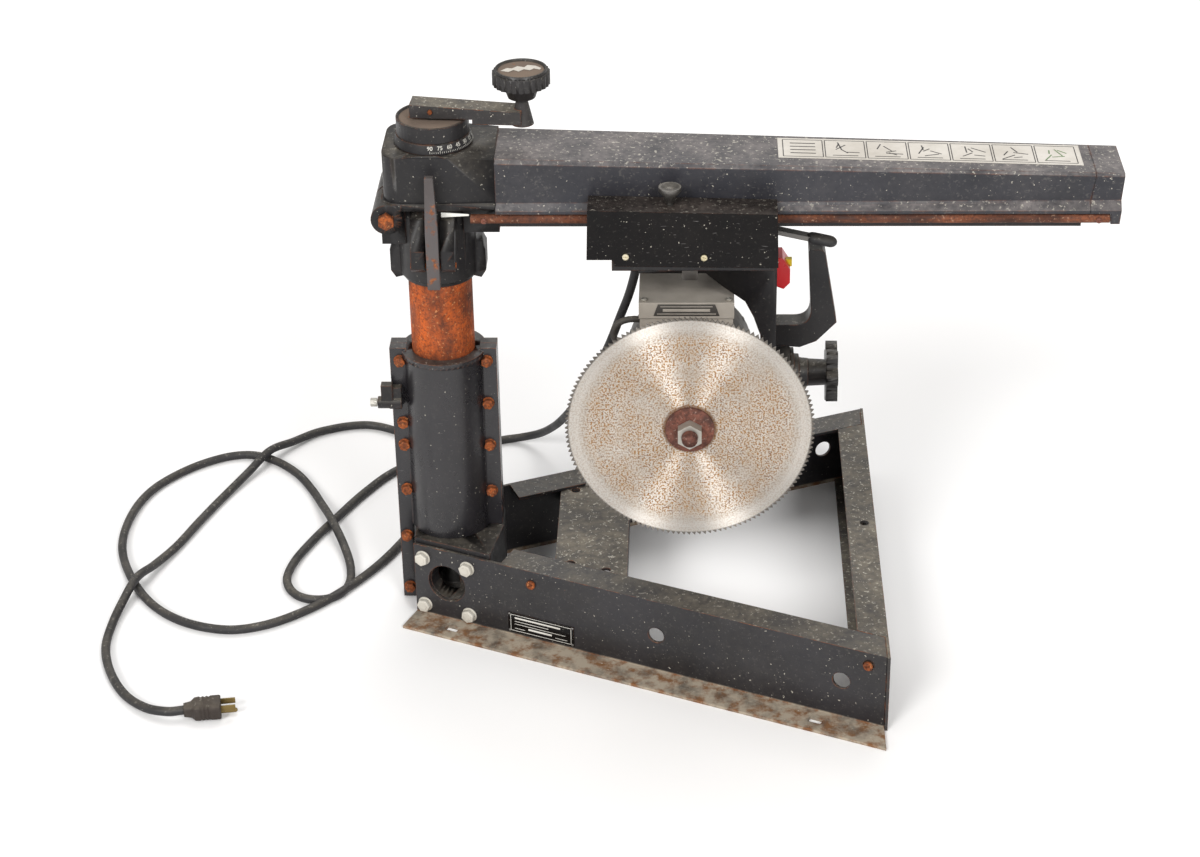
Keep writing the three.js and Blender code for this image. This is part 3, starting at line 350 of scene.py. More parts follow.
class Paint:
    """The nodes of one material, and short ways to add to them.

    Sizes are in millimetres, and colours are sRGB hex codes or another node's socket.
    """

    def __init__(self, name: str) -> None:
        """Starts a material.

        Args:
            name: The material's name.
        """
        self.finish = bpy.data.materials.new(name)
        self.finish.use_nodes = True
        self.place = self.node("ShaderNodeTexCoord")
        self.where = self.place.outputs["Object"]

    def feed(self, fed: bpy.types.Node, feeds: dict) -> None:
        """Gives a node's inputs their values and links.

        Args:
            fed: The node.
            feeds: A number, a hex colour or another node's socket for each input.
        """
        for key, value in feeds.items():
            if isinstance(value, Socket):
                self.finish.node_tree.links.new(value, fed.inputs[key])
            else:
                fed.inputs[key].default_value = linear(value) if isinstance(value, str) else value

    def node(self, kind: str, feeds: dict | None = None, **settings: object) -> bpy.types.Node:
        """Adds a node.

        Args:
            kind: Blender's name for the node.
            feeds: What goes into its inputs.
            settings: The node's own settings.

        Returns:
            The node.
        """
        added = self.finish.node_tree.nodes.new(kind)
        for name, value in settings.items():
            setattr(added, name, value)
        self.feed(added, feeds or {})
        return added

    def finished(self, feeds: dict) -> Material:
        """Gives the shader its inputs, and hands over the material."""
        self.feed(self.finish.node_tree.nodes["Principled BSDF"], feeds)
        return self.finish

    def ramp(self, value: Socket, low: float, high: float, least: float = 0.0) -> Socket:
        """Makes a mask out of a value.

        Args:
            value: The value.
            low: Where the mask starts.
            high: Where it is full.
            least: What it starts from.

        Returns:
            A mask from 0 to 1.
        """
        feeds = {"Value": value, "From Min": low, "From Max": high, "To Min": least}
        return self.node("ShaderNodeMapRange", feeds).outputs["Result"]

    def grain(self, size: float, low: float, high: float, detail: float = 3.0,
              where: Socket | None = None) -> Socket:
        """Makes a blotchy mask.

        Args:
            size: Size of a blotch.
            low: Noise level at which the mask starts.
            high: Noise level at which it is full.
            detail: Finer octaves.
            where: The coordinates it lies in, if not the object's own.

        Returns:
            A mask from 0 to 1.
        """
        feeds = {"Vector": where or self.where, "Scale": 0.5 / (size * MM), "Detail": detail, "Roughness": 0.62}
        return self.ramp(self.node("ShaderNodeTexNoise", feeds).outputs["Fac"], low, high)

    def both(self, first: Socket | float, second: Socket | float, how: str = "MULTIPLY") -> Socket:
        """Joins two masks.

        Args:
            first: A mask or number.
            second: A mask or number.
            how: The arithmetic to use.

        Returns:
            The joined mask, held to 0 to 1.
        """
        return self.node("ShaderNodeMath", {0: first, 1: second}, operation=how, use_clamp=True).outputs[0]

    def laid_over(self, under: Socket | str, over: Socket | str, cover: Socket | float) -> Socket:
        """Lays one colour over another where a mask says.

        Args:
            under: The lower colour.
            over: The upper colour.
            cover: How much of it covers.

        Returns:
            The colour.
        """
        return self.node("ShaderNodeMix", {0: cover, 6: under, 7: over}, data_type="RGBA").outputs[2]

    def level(self, under: Socket | float, over: float, cover: Socket) -> Socket:
        """Moves a plain number towards another one where a mask says.

        Args:
            under: The number without the mask.
            over: The number under the full mask.
            cover: The mask.

        Returns:
            The number.
        """
        return self.node("ShaderNodeMix", {0: cover, 2: under, 3: over}, data_type="FLOAT").outputs[0]

    def bump(self, strength: float, deep: float, height: Socket, **onto: Socket) -> Socket:
        """Gives the normal of a relief.

        Args:
            strength: Share of the relief that shows.
            deep: Its depth.
            height: Its height, from 0 to 1.
            onto: The Normal that it lies on, if not the plain one.

        Returns:
            The normal.
        """
        feeds = {"Strength": strength, "Distance": deep * MM, "Height": height, **onto}
        return self.node("ShaderNodeBump", feeds).outputs[0]


@dataclass(frozen=True)
class Weathered:
    """A workshop finish: its own colour, with dust, flecks, scratches and rust on it.

    Shares run from 0 to 1, sizes are in millimetres, and colours are sRGB hex codes.
    """

    name: str
    colour: str
    second: str
    metallic: float = 0.0
    roughness: float = 0.45
    blotch: float = 45.0
    dust: float = 0.0
    dust_colour: str = "8d8474"
    flecks: float = 0.0
    fleck_colour: str = "c9c3b4"
    scratches: float = 0.0
    scratch_colour: str = "6d6b69"
    rust: float = 0.0
    edge_rust: float = 0.0
    rust_colour: str = "7a3f1c"
    fresh_rust: str = "a8683a"
    texture: float = 2.0
    relief: float = 0.05
    corner: float = 1.2
    shine: float = 0.5
    foot_dirt: float = 0.0
    dirt_colours: tuple[str, str] = ("a39684", "7a5638")
    dirt_line: Pair = (5.5, 3.4)

    def material(self) -> Material:
        """Builds the finish, one layer over another.

        Returns:
            The material.
        """
        paint = Paint(self.name)
        colour = paint.laid_over(self.colour, self.second, paint.grain(self.blotch, 0.35, 0.68))
        corners, rounded = self.corners(paint)
        rough = paint.level(self.roughness, min(1.0, self.roughness * 1.45), paint.grain(14.0, 0.35, 0.7))
        height = paint.grain(self.texture, 0.2, 0.8)
        metallic = self.metallic
        if self.scratches:
            drawn = paint.node("ShaderNodeMapping", {"Vector": paint.where, "Scale": (0.12, 1.0, 0.8),
                                                     "Rotation": (0.2, 0.5, 0.5)}).outputs[0]
            lines = paint.both(paint.grain(0.5, 0.73, 0.76, 1.0, drawn), self.scratches)
            colour = paint.laid_over(colour, self.scratch_colour, lines)
        if self.dust:
            up = paint.node("ShaderNodeSeparateXYZ", {0: paint.place.outputs["Normal"]}).outputs["Z"]
            settled = paint.both(paint.ramp(up, 0.25, 0.95, least=0.10), self.dust)
            cloud = paint.both(paint.grain(26.0, 0.20, 0.72, 4.0), paint.grain(3.2, 0.10, 0.62, 6.0))
            film = paint.both(settled, cloud)
            colour = paint.laid_over(colour, self.dust_colour, film)
            crumbs = paint.both(settled, paint.grain(2.0, 0.60, 0.66))
            colour = paint.laid_over(colour, self.fleck_colour, paint.both(crumbs, 0.6))
            rough = paint.level(rough, 0.85, film)
        if self.foot_dirt:
            above = paint.node("ShaderNodeSeparateXYZ", {0: paint.where}).outputs["Z"]
            low = paint.ramp(above, self.dirt_line[0] * MM, self.dirt_line[1] * MM)
            silt = paint.both(paint.both(low, paint.grain(11.0, 0.25, 0.55, 6.0)), self.foot_dirt)
            tones = paint.laid_over(*self.dirt_colours, paint.grain(7.0, 0.45, 0.62, 6.0))
            colour = paint.laid_over(colour, tones, silt)
            rough = paint.level(rough, 0.95, silt)
        if self.flecks:
            spots = paint.both(paint.grain(1.5, 0.745, 0.765, 1.0), self.flecks)
            colour = paint.laid_over(colour, self.fleck_colour, spots)
        rusty = self.rusty(paint, corners)
        if rusty:
            tones = paint.laid_over(self.rust_colour, self.fresh_rust, paint.grain(1.6, 0.4, 0.75))
            colour = paint.laid_over(colour, tones, rusty)
            rough = paint.level(rough, 0.88, rusty)
            height = paint.both(height, paint.both(rusty, 0.6), "ADD")
            if self.metallic:
                metallic = paint.level(self.metallic, 0.1, rusty)
        return paint.finished({"Base Color": colour, "Roughness": rough, "Metallic": metallic,
                               "Specular IOR Level": self.shine,
                               "Normal": paint.bump(0.7, self.relief, height, Normal=rounded)})

    def corners(self, paint: Paint) -> tuple[Socket, Socket]:
        """Finds the corners.

        Args:
            paint: The material.

        Returns:
            A mask that is 1 on the corners, and the normal with the corners rounded.
        """
        rounded = paint.node("ShaderNodeBevel", {"Radius": self.corner * MM}, samples=4).outputs[0]
        plain = paint.node("ShaderNodeNewGeometry").outputs["Normal"]
        match = paint.node("ShaderNodeVectorMath", {0: rounded, 1: plain}, operation="DOT_PRODUCT").outputs["Value"]
        return paint.ramp(match, 0.995, 0.90), rounded

    def rusty(self, paint: Paint, corners: Socket) -> Socket | None:
        """Finds the rust, in patches and along the corners.

        Args:
            paint: The material.
            corners: Where the corners are.

        Returns:
            A mask, or nothing for a finish without rust.
        """
        patches = chipped = None
        if self.rust:
            patches = paint.grain(6.0, 0.74 - 0.3 * self.rust, 0.80 - 0.25 * self.rust, 6.0)
        if self.edge_rust:
            chipped = paint.both(paint.both(corners, paint.grain(7.0, 0.42, 0.6, 5.0)), self.edge_rust)
        return paint.both(patches, chipped, "MAXIMUM") if patches and chipped else patches or chipped


@dataclass(frozen=True)
class GroundBladeSteel:
    """Saw steel ground in circles, which gives the eye a radial sheen, with a speckle of rust all over."""

    name: str
    centre: Vector
    radius: float = 127.0
    steel: str = "e6e1da"
    shade: str = "b3aca2"
    speckle: str = "95661a"
    deep: str = "643a14"
    grime: str = "4a443c"
    bloom: str = "ab8248"
    line: float = 1.4  # between grinding lines; 0.3 on the real blade, wider here so that they show
    band: float = 14.0
    clean_rim: Pair = (118.0, 100.0)
    washer_mark: Pair = (28.5, 26.5)
    tooth_depth: Pair = (4.5, 3.0)

    def material(self) -> Material:
        """Builds the finish.

        Returns:
            The material.
        """
        paint = Paint(self.name)
        about = paint.node("ShaderNodeVectorMath", {0: paint.where, 1: self.centre}, operation="SUBTRACT").outputs[0]
        flat = paint.node("ShaderNodeVectorMath", {0: about, 1: (1.0, 0.0, 1.0)}, operation="MULTIPLY").outputs[0]
        out = paint.node("ShaderNodeVectorMath", {0: flat}, operation="LENGTH").outputs["Value"]
        rings, bands = (
            paint.node("ShaderNodeTexNoise", {"W": out, "Scale": 1 / (size * MM), "Detail": detail},
                       noise_dimensions="1D").outputs["Fac"]
            for size, detail in ((self.line, 2.0), (self.band, 1.0)))
        inner, hub = (paint.ramp(out, start * MM, end * MM) for start, end in (self.clean_rim, self.washer_mark))
        tips = paint.ramp(out, *((self.radius - depth) * MM for depth in self.tooth_depth))
        speckled = paint.both(paint.grain(0.95, 0.49, 0.55, 2.0, flat), paint.grain(22.0, 0.18, 0.50, 3.0, flat))
        spots = paint.both(speckled, paint.both(inner, 0.25, "MAXIMUM"))
        tones = paint.laid_over(self.speckle, self.deep, paint.grain(3.0, 0.5, 0.66, where=flat))
        stain = paint.both(hub, paint.grain(4.0, 0.1, 0.4, where=flat))
        yellowed = paint.both(paint.grain(9.0, 0.35, 0.65, 4.0, flat), paint.both(inner, 0.22))
        colour = paint.laid_over(self.steel, self.shade, paint.both(rings, bands))
        for tone, cover in ((tones, paint.both(spots, 0.95)), (self.deep, paint.both(stain, 0.8)),
                            (self.grime, paint.both(tips, 0.75)), (self.bloom, yellowed)):
            colour = paint.laid_over(colour, tone, cover)
        rusty = paint.both(spots, stain, "MAXIMUM")
        return paint.finished({
            "Base Color": colour, "Metallic": paint.level(0.95, 0.25, rusty),
            "Roughness": paint.level(0.47, 0.78, rusty), "Anisotropic": 0.97, "Anisotropic Rotation": 0.25,
            "Tangent": paint.node("ShaderNodeTangent", direction_type="RADIAL", axis="Y").outputs[0],
            "Normal": paint.bump(0.25, 0.03, rings)})


@dataclass(frozen=True)
class RustSkin:
    """Bare steel under a thick even coat of rust: dull orange-brown with dark pits and pale bloom."""

    name: str
    bright: str = "bf581a"
    dark: str = "4f2613"
    bloom: str = "d0935e"
    blotch: float = 12.0
    drag: Triple = (1.0, 1.0, 1.0)

    def material(self) -> Material:
        """Builds the finish.

        Returns:
            The material.
        """
        paint = Paint(self.name)
        pulled = paint.node("ShaderNodeMapping", {"Vector": paint.where, "Scale": self.drag}).outputs[0]
        colour = paint.laid_over(self.bright, self.dark, paint.grain(self.blotch, 0.36, 0.66, 6.0, pulled))
        pits = paint.grain(1.3, 0.48, 0.62, 5.0)
        pale = paint.grain(1.7, 0.60, 0.68, 4.0)
        colour = paint.laid_over(colour, self.dark, paint.both(pits, 0.7))
        colour = paint.laid_over(colour, self.bloom, paint.both(pale, 0.55))
        rounded = paint.node("ShaderNodeBevel", {"Radius": 0.8 * MM}, samples=4).outputs[0]
        crust = paint.bump(0.8, 0.12, paint.grain(1.2, 0.2, 0.8, 5.0), Normal=rounded)
        return paint.finished({"Base Color": colour, "Metallic": 0.1, "Normal": crust,
                               "Roughness": paint.level(0.62, 0.92, paint.grain(9.0, 0.3, 0.7))})


class Finishes:
    """Every material of the saw, made once and kept by name."""

    def __init__(self, blade_centre: Vector) -> None:
        """Builds the finishes.

        Args:
            blade_centre: Middle of the saw blade, in metres.
        """
        recipes = [
            # Baked charcoal enamel on pressed steel: smooth, half glossy, chipped to rust along the edges.
            Weathered("charcoal_enamel_on_sheet", "1c1b1e", "28272b", roughness=0.30, dust=0.55, flecks=0.7,
                      scratches=0.5, edge_rust=0.9, rust=0.03, relief=0.03, shine=0.4, foot_dirt=1.0),
            # The same enamel where sawdust and damp have lain for years.
            Weathered("charcoal_enamel_dusty", "211f21", "2e2c2e", roughness=0.42, dust=0.95, flecks=1.0,
                      scratches=0.5, edge_rust=1.0, rust=0.18, shine=0.4),
            # Satin black enamel on the column's clamp halves: it keeps a soft upright streak of light.
            Weathered("satin_black_enamel", "17161a", "201e22", roughness=0.24, dust=0.25, flecks=0.45,
                      scratches=0.35, edge_rust=0.9, rust=0.03, relief=0.02, shine=0.6),
            # Black enamel on sand-cast iron: the casting's grain shows through as a fine orange peel.
            Weathered("black_enamel_on_casting", "131215", "1d1c1f", roughness=0.34, dust=0.35, flecks=0.5,
                      edge_rust=0.4, texture=3.0, relief=0.10, corner=2.0, shine=0.35),
            # Blue-grey enamel of the arm, dull on top with brown dust.
            Weathered("blue_grey_enamel_on_arm", "1d1e24", "26272e", roughness=0.34, dust=1.0, dust_colour="8d8683",
                      flecks=0.7, scratches=0.5, edge_rust=0.4, relief=0.03, corner=2.4, shine=0.4),
            # Gloss black enamel on a folded cover, scuffed and dusty.
            Weathered("gloss_black_enamel", "070607", "0c0b0c", roughness=0.14, dust=0.42, dust_colour="6a5f58",
                      flecks=0.5, scratches=0.5, edge_rust=0.15, relief=0.015, shine=0.15),
            # Turned steel left bare: a dull grey sheen with brown stains.
            Weathered("dull_bare_steel", "8a8886", "68645f", metallic=0.9, roughness=0.40, dust=0.25, rust=0.22,
                      scratches=0.5, relief=0.04),
            # Forged lever: grey scale with brown rust freckles.
            Weathered("freckled_forged_steel", "5f5a5a", "4a4442", metallic=0.6, dust=0.3, rust=0.62,
                      rust_colour="6b3a20", relief=0.08),
            # Zinc plate on small steel parts: pale grey, gone a little yellow.
            Weathered("zinc_plate", "b9b6ae", "9c978c", metallic=0.75, roughness=0.40, dust=0.25, rust=0.06,
                      relief=0.03),
            # Chromate gone chalky on the big frame bolts: off-white.
            Weathered("chalky_zinc_bolt", "d6d1c6", "b3ada0", metallic=0.2, roughness=0.5, dust=0.25, rust=0.06),
            # Folded aluminium sheet: pale and matt, with brown stains in its grain.
            Weathered("folded_aluminium_stained", "c9c1b6", "9b9388", metallic=0.45, roughness=0.5, dust=0.2,
                      rust=0.14, rust_colour="6b5c48", texture=1.6, relief=0.08),
            # Die-cast motor shell, grey with oil and dust in its grain.
            Weathered("cast_aluminium_oily", "57534f", "3a3735", metallic=0.5, dust=0.4, rust=0.1,
                      rust_colour="3b3028", texture=1.8, relief=0.10),
            # Yellow passivated zinc on the cover screws: pale with a warm glint.
            Weathered("brassy_screw", "e2dac2", "b8a878", metallic=0.8, roughness=0.38, dust=0.2, rust=0.1),
            # Moulded phenolic: black, faintly glossy, dusty in its hollows.
            Weathered("black_phenolic", "121012", "1c191a", roughness=0.34, dust=0.35, flecks=0.3, texture=1.0,
                      relief=0.04),
            # Extruded rubber jacket: near black and dull.
            Weathered("cord_rubber", "151518", "222124", roughness=0.50, dust=0.35, flecks=0.3, texture=1.4),
            # Old lead insulation: brown-grey and matt.
            Weathered("lead_insulation", "3a3632", "2a2724", roughness=0.6, dust=0.4),
            # Moulded plug rubber: brown-black and matt.
            Weathered("plug_rubber", "211915", "30241d", roughness=0.55, dust=0.35, texture=1.2, relief=0.06),
            # Moulded nylon of the switch: clear red and glossy.
            Weathered("red_nylon", "c8101a", "a50c14", roughness=0.25, dust=0.08, scratches=0.2, relief=0.02),
            # Moulded nylon of the key: flat yellow.
            Weathered("yellow_nylon", "d6bf1a", "b79f18", roughness=0.35, dust=0.08, relief=0.02),
            # Moulded acetal of the pointer: milky white.
            Weathered("white_acetal", "e6e4dd", "cfcabf", roughness=0.35, dust=0.25, relief=0.02),
            # Coated paper label: cream, scuffed and stained.
            Weathered("label_paper", "dcd6cd", "c6bfb4", roughness=0.5, dust=0.3, scratches=0.4, rust=0.05,
                      rust_colour="6d5a3e", relief=0.02),
            # Printing ink: flat dark grey.
            Weathered("label_ink", "2a292c", "3f3d3e", roughness=0.5, dust=0.2, relief=0.01),
            # Printing ink: faded green.
            Weathered("label_green", "5f7f4c", "74905c", roughness=0.5, dust=0.2, relief=0.01),
            # Paint wiped into the scale's marks: chalk white.
            Weathered("scale_paint", "dedbd3", "c4c0b6", roughness=0.5, dust=0.1, relief=0.01),
            # Sawdust caked with oil: brown-grey, rough and without shine.
            Weathered("caked_dust", "5d5048", "7b6a5b", roughness=0.95, texture=1.5, relief=0.4, rust=0.3),
            # Stamped brass of the plug's blades: dull yellow metal.
            Weathered("brass_contact", "8d7a4c", "6f5d38", metallic=0.9, roughness=0.4, dust=0.2),
            # Rust on drawn steel tube, drawn out along the column: bright orange-brown.
            RustSkin("rusted_column", drag=(1.0, 1.0, 0.6)),
            # Rust on bolt heads: small dark and pale spots.
            RustSkin("rusted_bolt", bright="a5541f", dark="46220f", bloom="c98a55", blotch=3.0),
            # Rust on the blade's washer: dark red-brown.
            RustSkin("rusted_washer", bright="7d4a3a", dark="40231a", bloom="b79a8c", blotch=6.0),
            # Rust worn along the rods by the rollers: brown, in long blotches.
            RustSkin("rusted_rod", bright="84492a", dark="3a2016", bloom="b08a70", blotch=9.0, drag=(0.3, 1.0, 1.0)),
            GroundBladeSteel("ground_blade_steel", blade_centre),
        ]
        self.made = {recipe.name: recipe.material() for recipe in recipes}

    def __getitem__(self, name: str) -> Material:
        """Gives a finish by its name."""
        return self.made[name]


SLOT_FINISH = {
    "frame_paint": "charcoal_enamel_on_sheet",
    "cast_paint": "black_enamel_on_casting",
    "gloss_black": "gloss_black_enamel",
    "rusted_steel": "rusted_bolt",
    "bare_steel": "dull_bare_steel",
    "zinc": "zinc_plate",
    "aluminium": "cast_aluminium_oily",
    "blade_steel": "ground_blade_steel",
    "black_plastic": "black_phenolic",
    "rubber": "cord_rubber",
    "red_plastic": "red_nylon",
    "yellow_plastic": "yellow_nylon",
}

NODE_FINISH = {
    "column_tube": "rusted_column",
    "support_left_half": "satin_black_enamel",
    "support_right_half": "satin_black_enamel",
    "arm_lock_lever": "freckled_forged_steel",
    "outer_flange": "rusted_washer",
    "arbor_shaft": "rusted_washer",
    "terminal_box": "folded_aluminium_stained",
    "terminal_cover": "folded_aluminium_stained",
    "track_rod_left": "rusted_rod",
    "track_rod_right": "rusted_rod",
    "arm_cover": "blue_grey_enamel_on_arm",
    "arm_end_cap": "blue_grey_enamel_on_arm",
    "crank_arm": "charcoal_enamel_dusty",
    "cross_member": "charcoal_enamel_dusty",
    "front_rail": "charcoal_enamel_dusty",
    "motor_lead": "lead_insulation",
}

ROUND_NODES = (
    "support_left_half", "support_right_half", "column_tube", "index_ring", "index_cap", "crank_knob", "arm_head",
    "clamp_bolt", "cover_stud_left", "cover_stud_right", "swivel_grip", "cord_gland", "bevel_knob", "motor_housing",
    "motor_front_bell", "motor_rear_bell", "motor_lead", "bevel_stud", "arbor_shaft", "outer_flange", "yoke",
    "track_rod_left", "track_rod_right", "roller_rear_left", "roller_front_left", "roller_rear_right",
    "roller_front_right", "base_casting", "gib_screw",
)


def dress_nodes(frame: dict, finishes: Finishes) -> None:
    """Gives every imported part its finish, and a smoothly shaded skin where it is round.

    Args:
        finishes: The materials.
    """
    slots = {row["node"]: row["material_slot"] for row in frame["record"]["subparts"]}
    for name, part in frame["nodes"].items():
        finish = finishes[NODE_FINISH.get(name, SLOT_FINISH[slots[name]])]
        if not part.material_slots:
            part.data.materials.append(finish)
        for held in part.material_slots:
            held.material = finish
    for name in ROUND_NODES:
        part = frame["nodes"][name]
        shape = bmesh.new()
        shape.from_mesh(part.data)
        bmesh.ops.remove_doubles(shape, verts=shape.verts, dist=2 * MERGE)
        finish = finishes[NODE_FINISH.get(name, SLOT_FINISH[slots[name]])]
        skin = made(f"{name}_skin", shape, finish, part["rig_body"])
        evened = skin.modifiers.new("evened", "WEIGHTED_NORMAL")
        evened.keep_sharp = True
        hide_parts(name)


# ---------------------------------------------------------------- studio
@dataclass(frozen=True)
class SeamlessPaper:
    """Pale seamless paper, rolled: matt, with a trace of unevenness."""

    name: str = "seamless_paper"

    def material(self) -> Material:
        """Builds the finish."""
        paint = Paint(self.name)
        return paint.finished({"Base Color": paint.laid_over("faf9f8", "f5f3f1", paint.grain(400.0, 0.3, 0.7)),
                               "Roughness": 0.7})


@dataclass(frozen=True)
class Studio:
    """The camera, a pale floor and soft lights."""

    ground: Ground
    eye: Triple = (258.05, -2475.49, 1622.71)
    yaw: float = -0.0385891
    pitch: float = 0.519063
    roll: float = -0.0177801
    lens: float = 80.37
    sensor: float = 36.0
    far: float = 50.0
    floor_half: float = 40.0
    air: float = 0.5

    def camera(self) -> None:
        """Sets up the camera."""
        right = Vector((math.cos(self.yaw), -math.sin(self.yaw), 0.0))
        ahead = Vector((math.sin(self.yaw) * math.cos(self.pitch), math.cos(self.yaw) * math.cos(self.pitch),
                        -math.sin(self.pitch)))
        above = right.cross(ahead)
        side = math.cos(self.roll) * right + math.sin(self.roll) * above
        top = math.cos(self.roll) * above - math.sin(self.roll) * right
        data = bpy.data.cameras.new("studio_camera")
        data.lens = self.lens
        data.sensor_width = self.sensor
        data.clip_end = self.far
        camera = bpy.data.objects.new("studio_camera", data)
        camera.matrix_world = self.ground.shift(*self.eye) @ basis(side, top, -ahead)
        bpy.context.scene.collection.objects.link(camera)
        bpy.context.scene.camera = camera

    def lamp(self, name: str, place: Triple, spread: float, strength: float) -> None:
        """Adds a far, wide and soft light.

        Args:
            name: The light's name.
            place: The direction that it comes from.
            spread: How wide it looks, in degrees.
            strength: Its strength.
        """
        data = bpy.data.lights.new(name, "SUN")
        data.angle = math.radians(spread)
        data.energy = strength
        light = bpy.data.objects.new(name, data)
        light.matrix_world = (-Vector(place)).to_track_quat("-Z", "Y").to_matrix().to_4x4()
        bpy.context.scene.collection.objects.link(light)

    def build(self) -> None:
        """Builds the whole studio."""
        self.camera()
        sheet = bmesh.new()
        bmesh.ops.create_grid(sheet, x_segments=2, y_segments=2, size=self.floor_half)
        mesh = bpy.data.meshes.new("studio_floor")
        sheet.to_mesh(mesh)
        sheet.free()
        mesh.materials.append(SeamlessPaper().material())
        floor = bpy.data.objects.new("studio_floor", mesh)
        bpy.context.scene.collection.objects.link(floor)
        self.lamp("key_light", (-1.0, -1.7, 1.35), 20.0, 1.7)
        self.lamp("fill_light", (0.95, -1.7, 1.25), 20.0, 1.3)
        self.lamp("back_light", (0.2, 1.5, 2.2), 40.0, 1.0)
        world = bpy.data.worlds.new("studio_air")
        world.use_nodes = True
        sky = world.node_tree.nodes["Background"].inputs
        sky["Color"].default_value = linear("ffffff")
        sky["Strength"].default_value = self.air
        bpy.context.scene.world = world
        bpy.context.scene.view_settings.view_transform = "Standard"


@dataclass
class Details:
    """The small pieces of one sub-assembly; sizes in millimetres."""

    ground: Ground
    finishes: Finishes

    def add(self, name: str, shape: Shape, finish: str, body: str, slot: str) -> bpy.types.Object:
        """Makes a piece in one of the finishes.

        Args:
            name: The piece's name.
            shape: Its shape, already in place. It is freed.
            finish: The finish's name.
            body: The body that it moves with.
            slot: The record's material slot; not used.

        Returns:
            The piece.
        """
        return made(name, shape, self.finishes[finish], body)


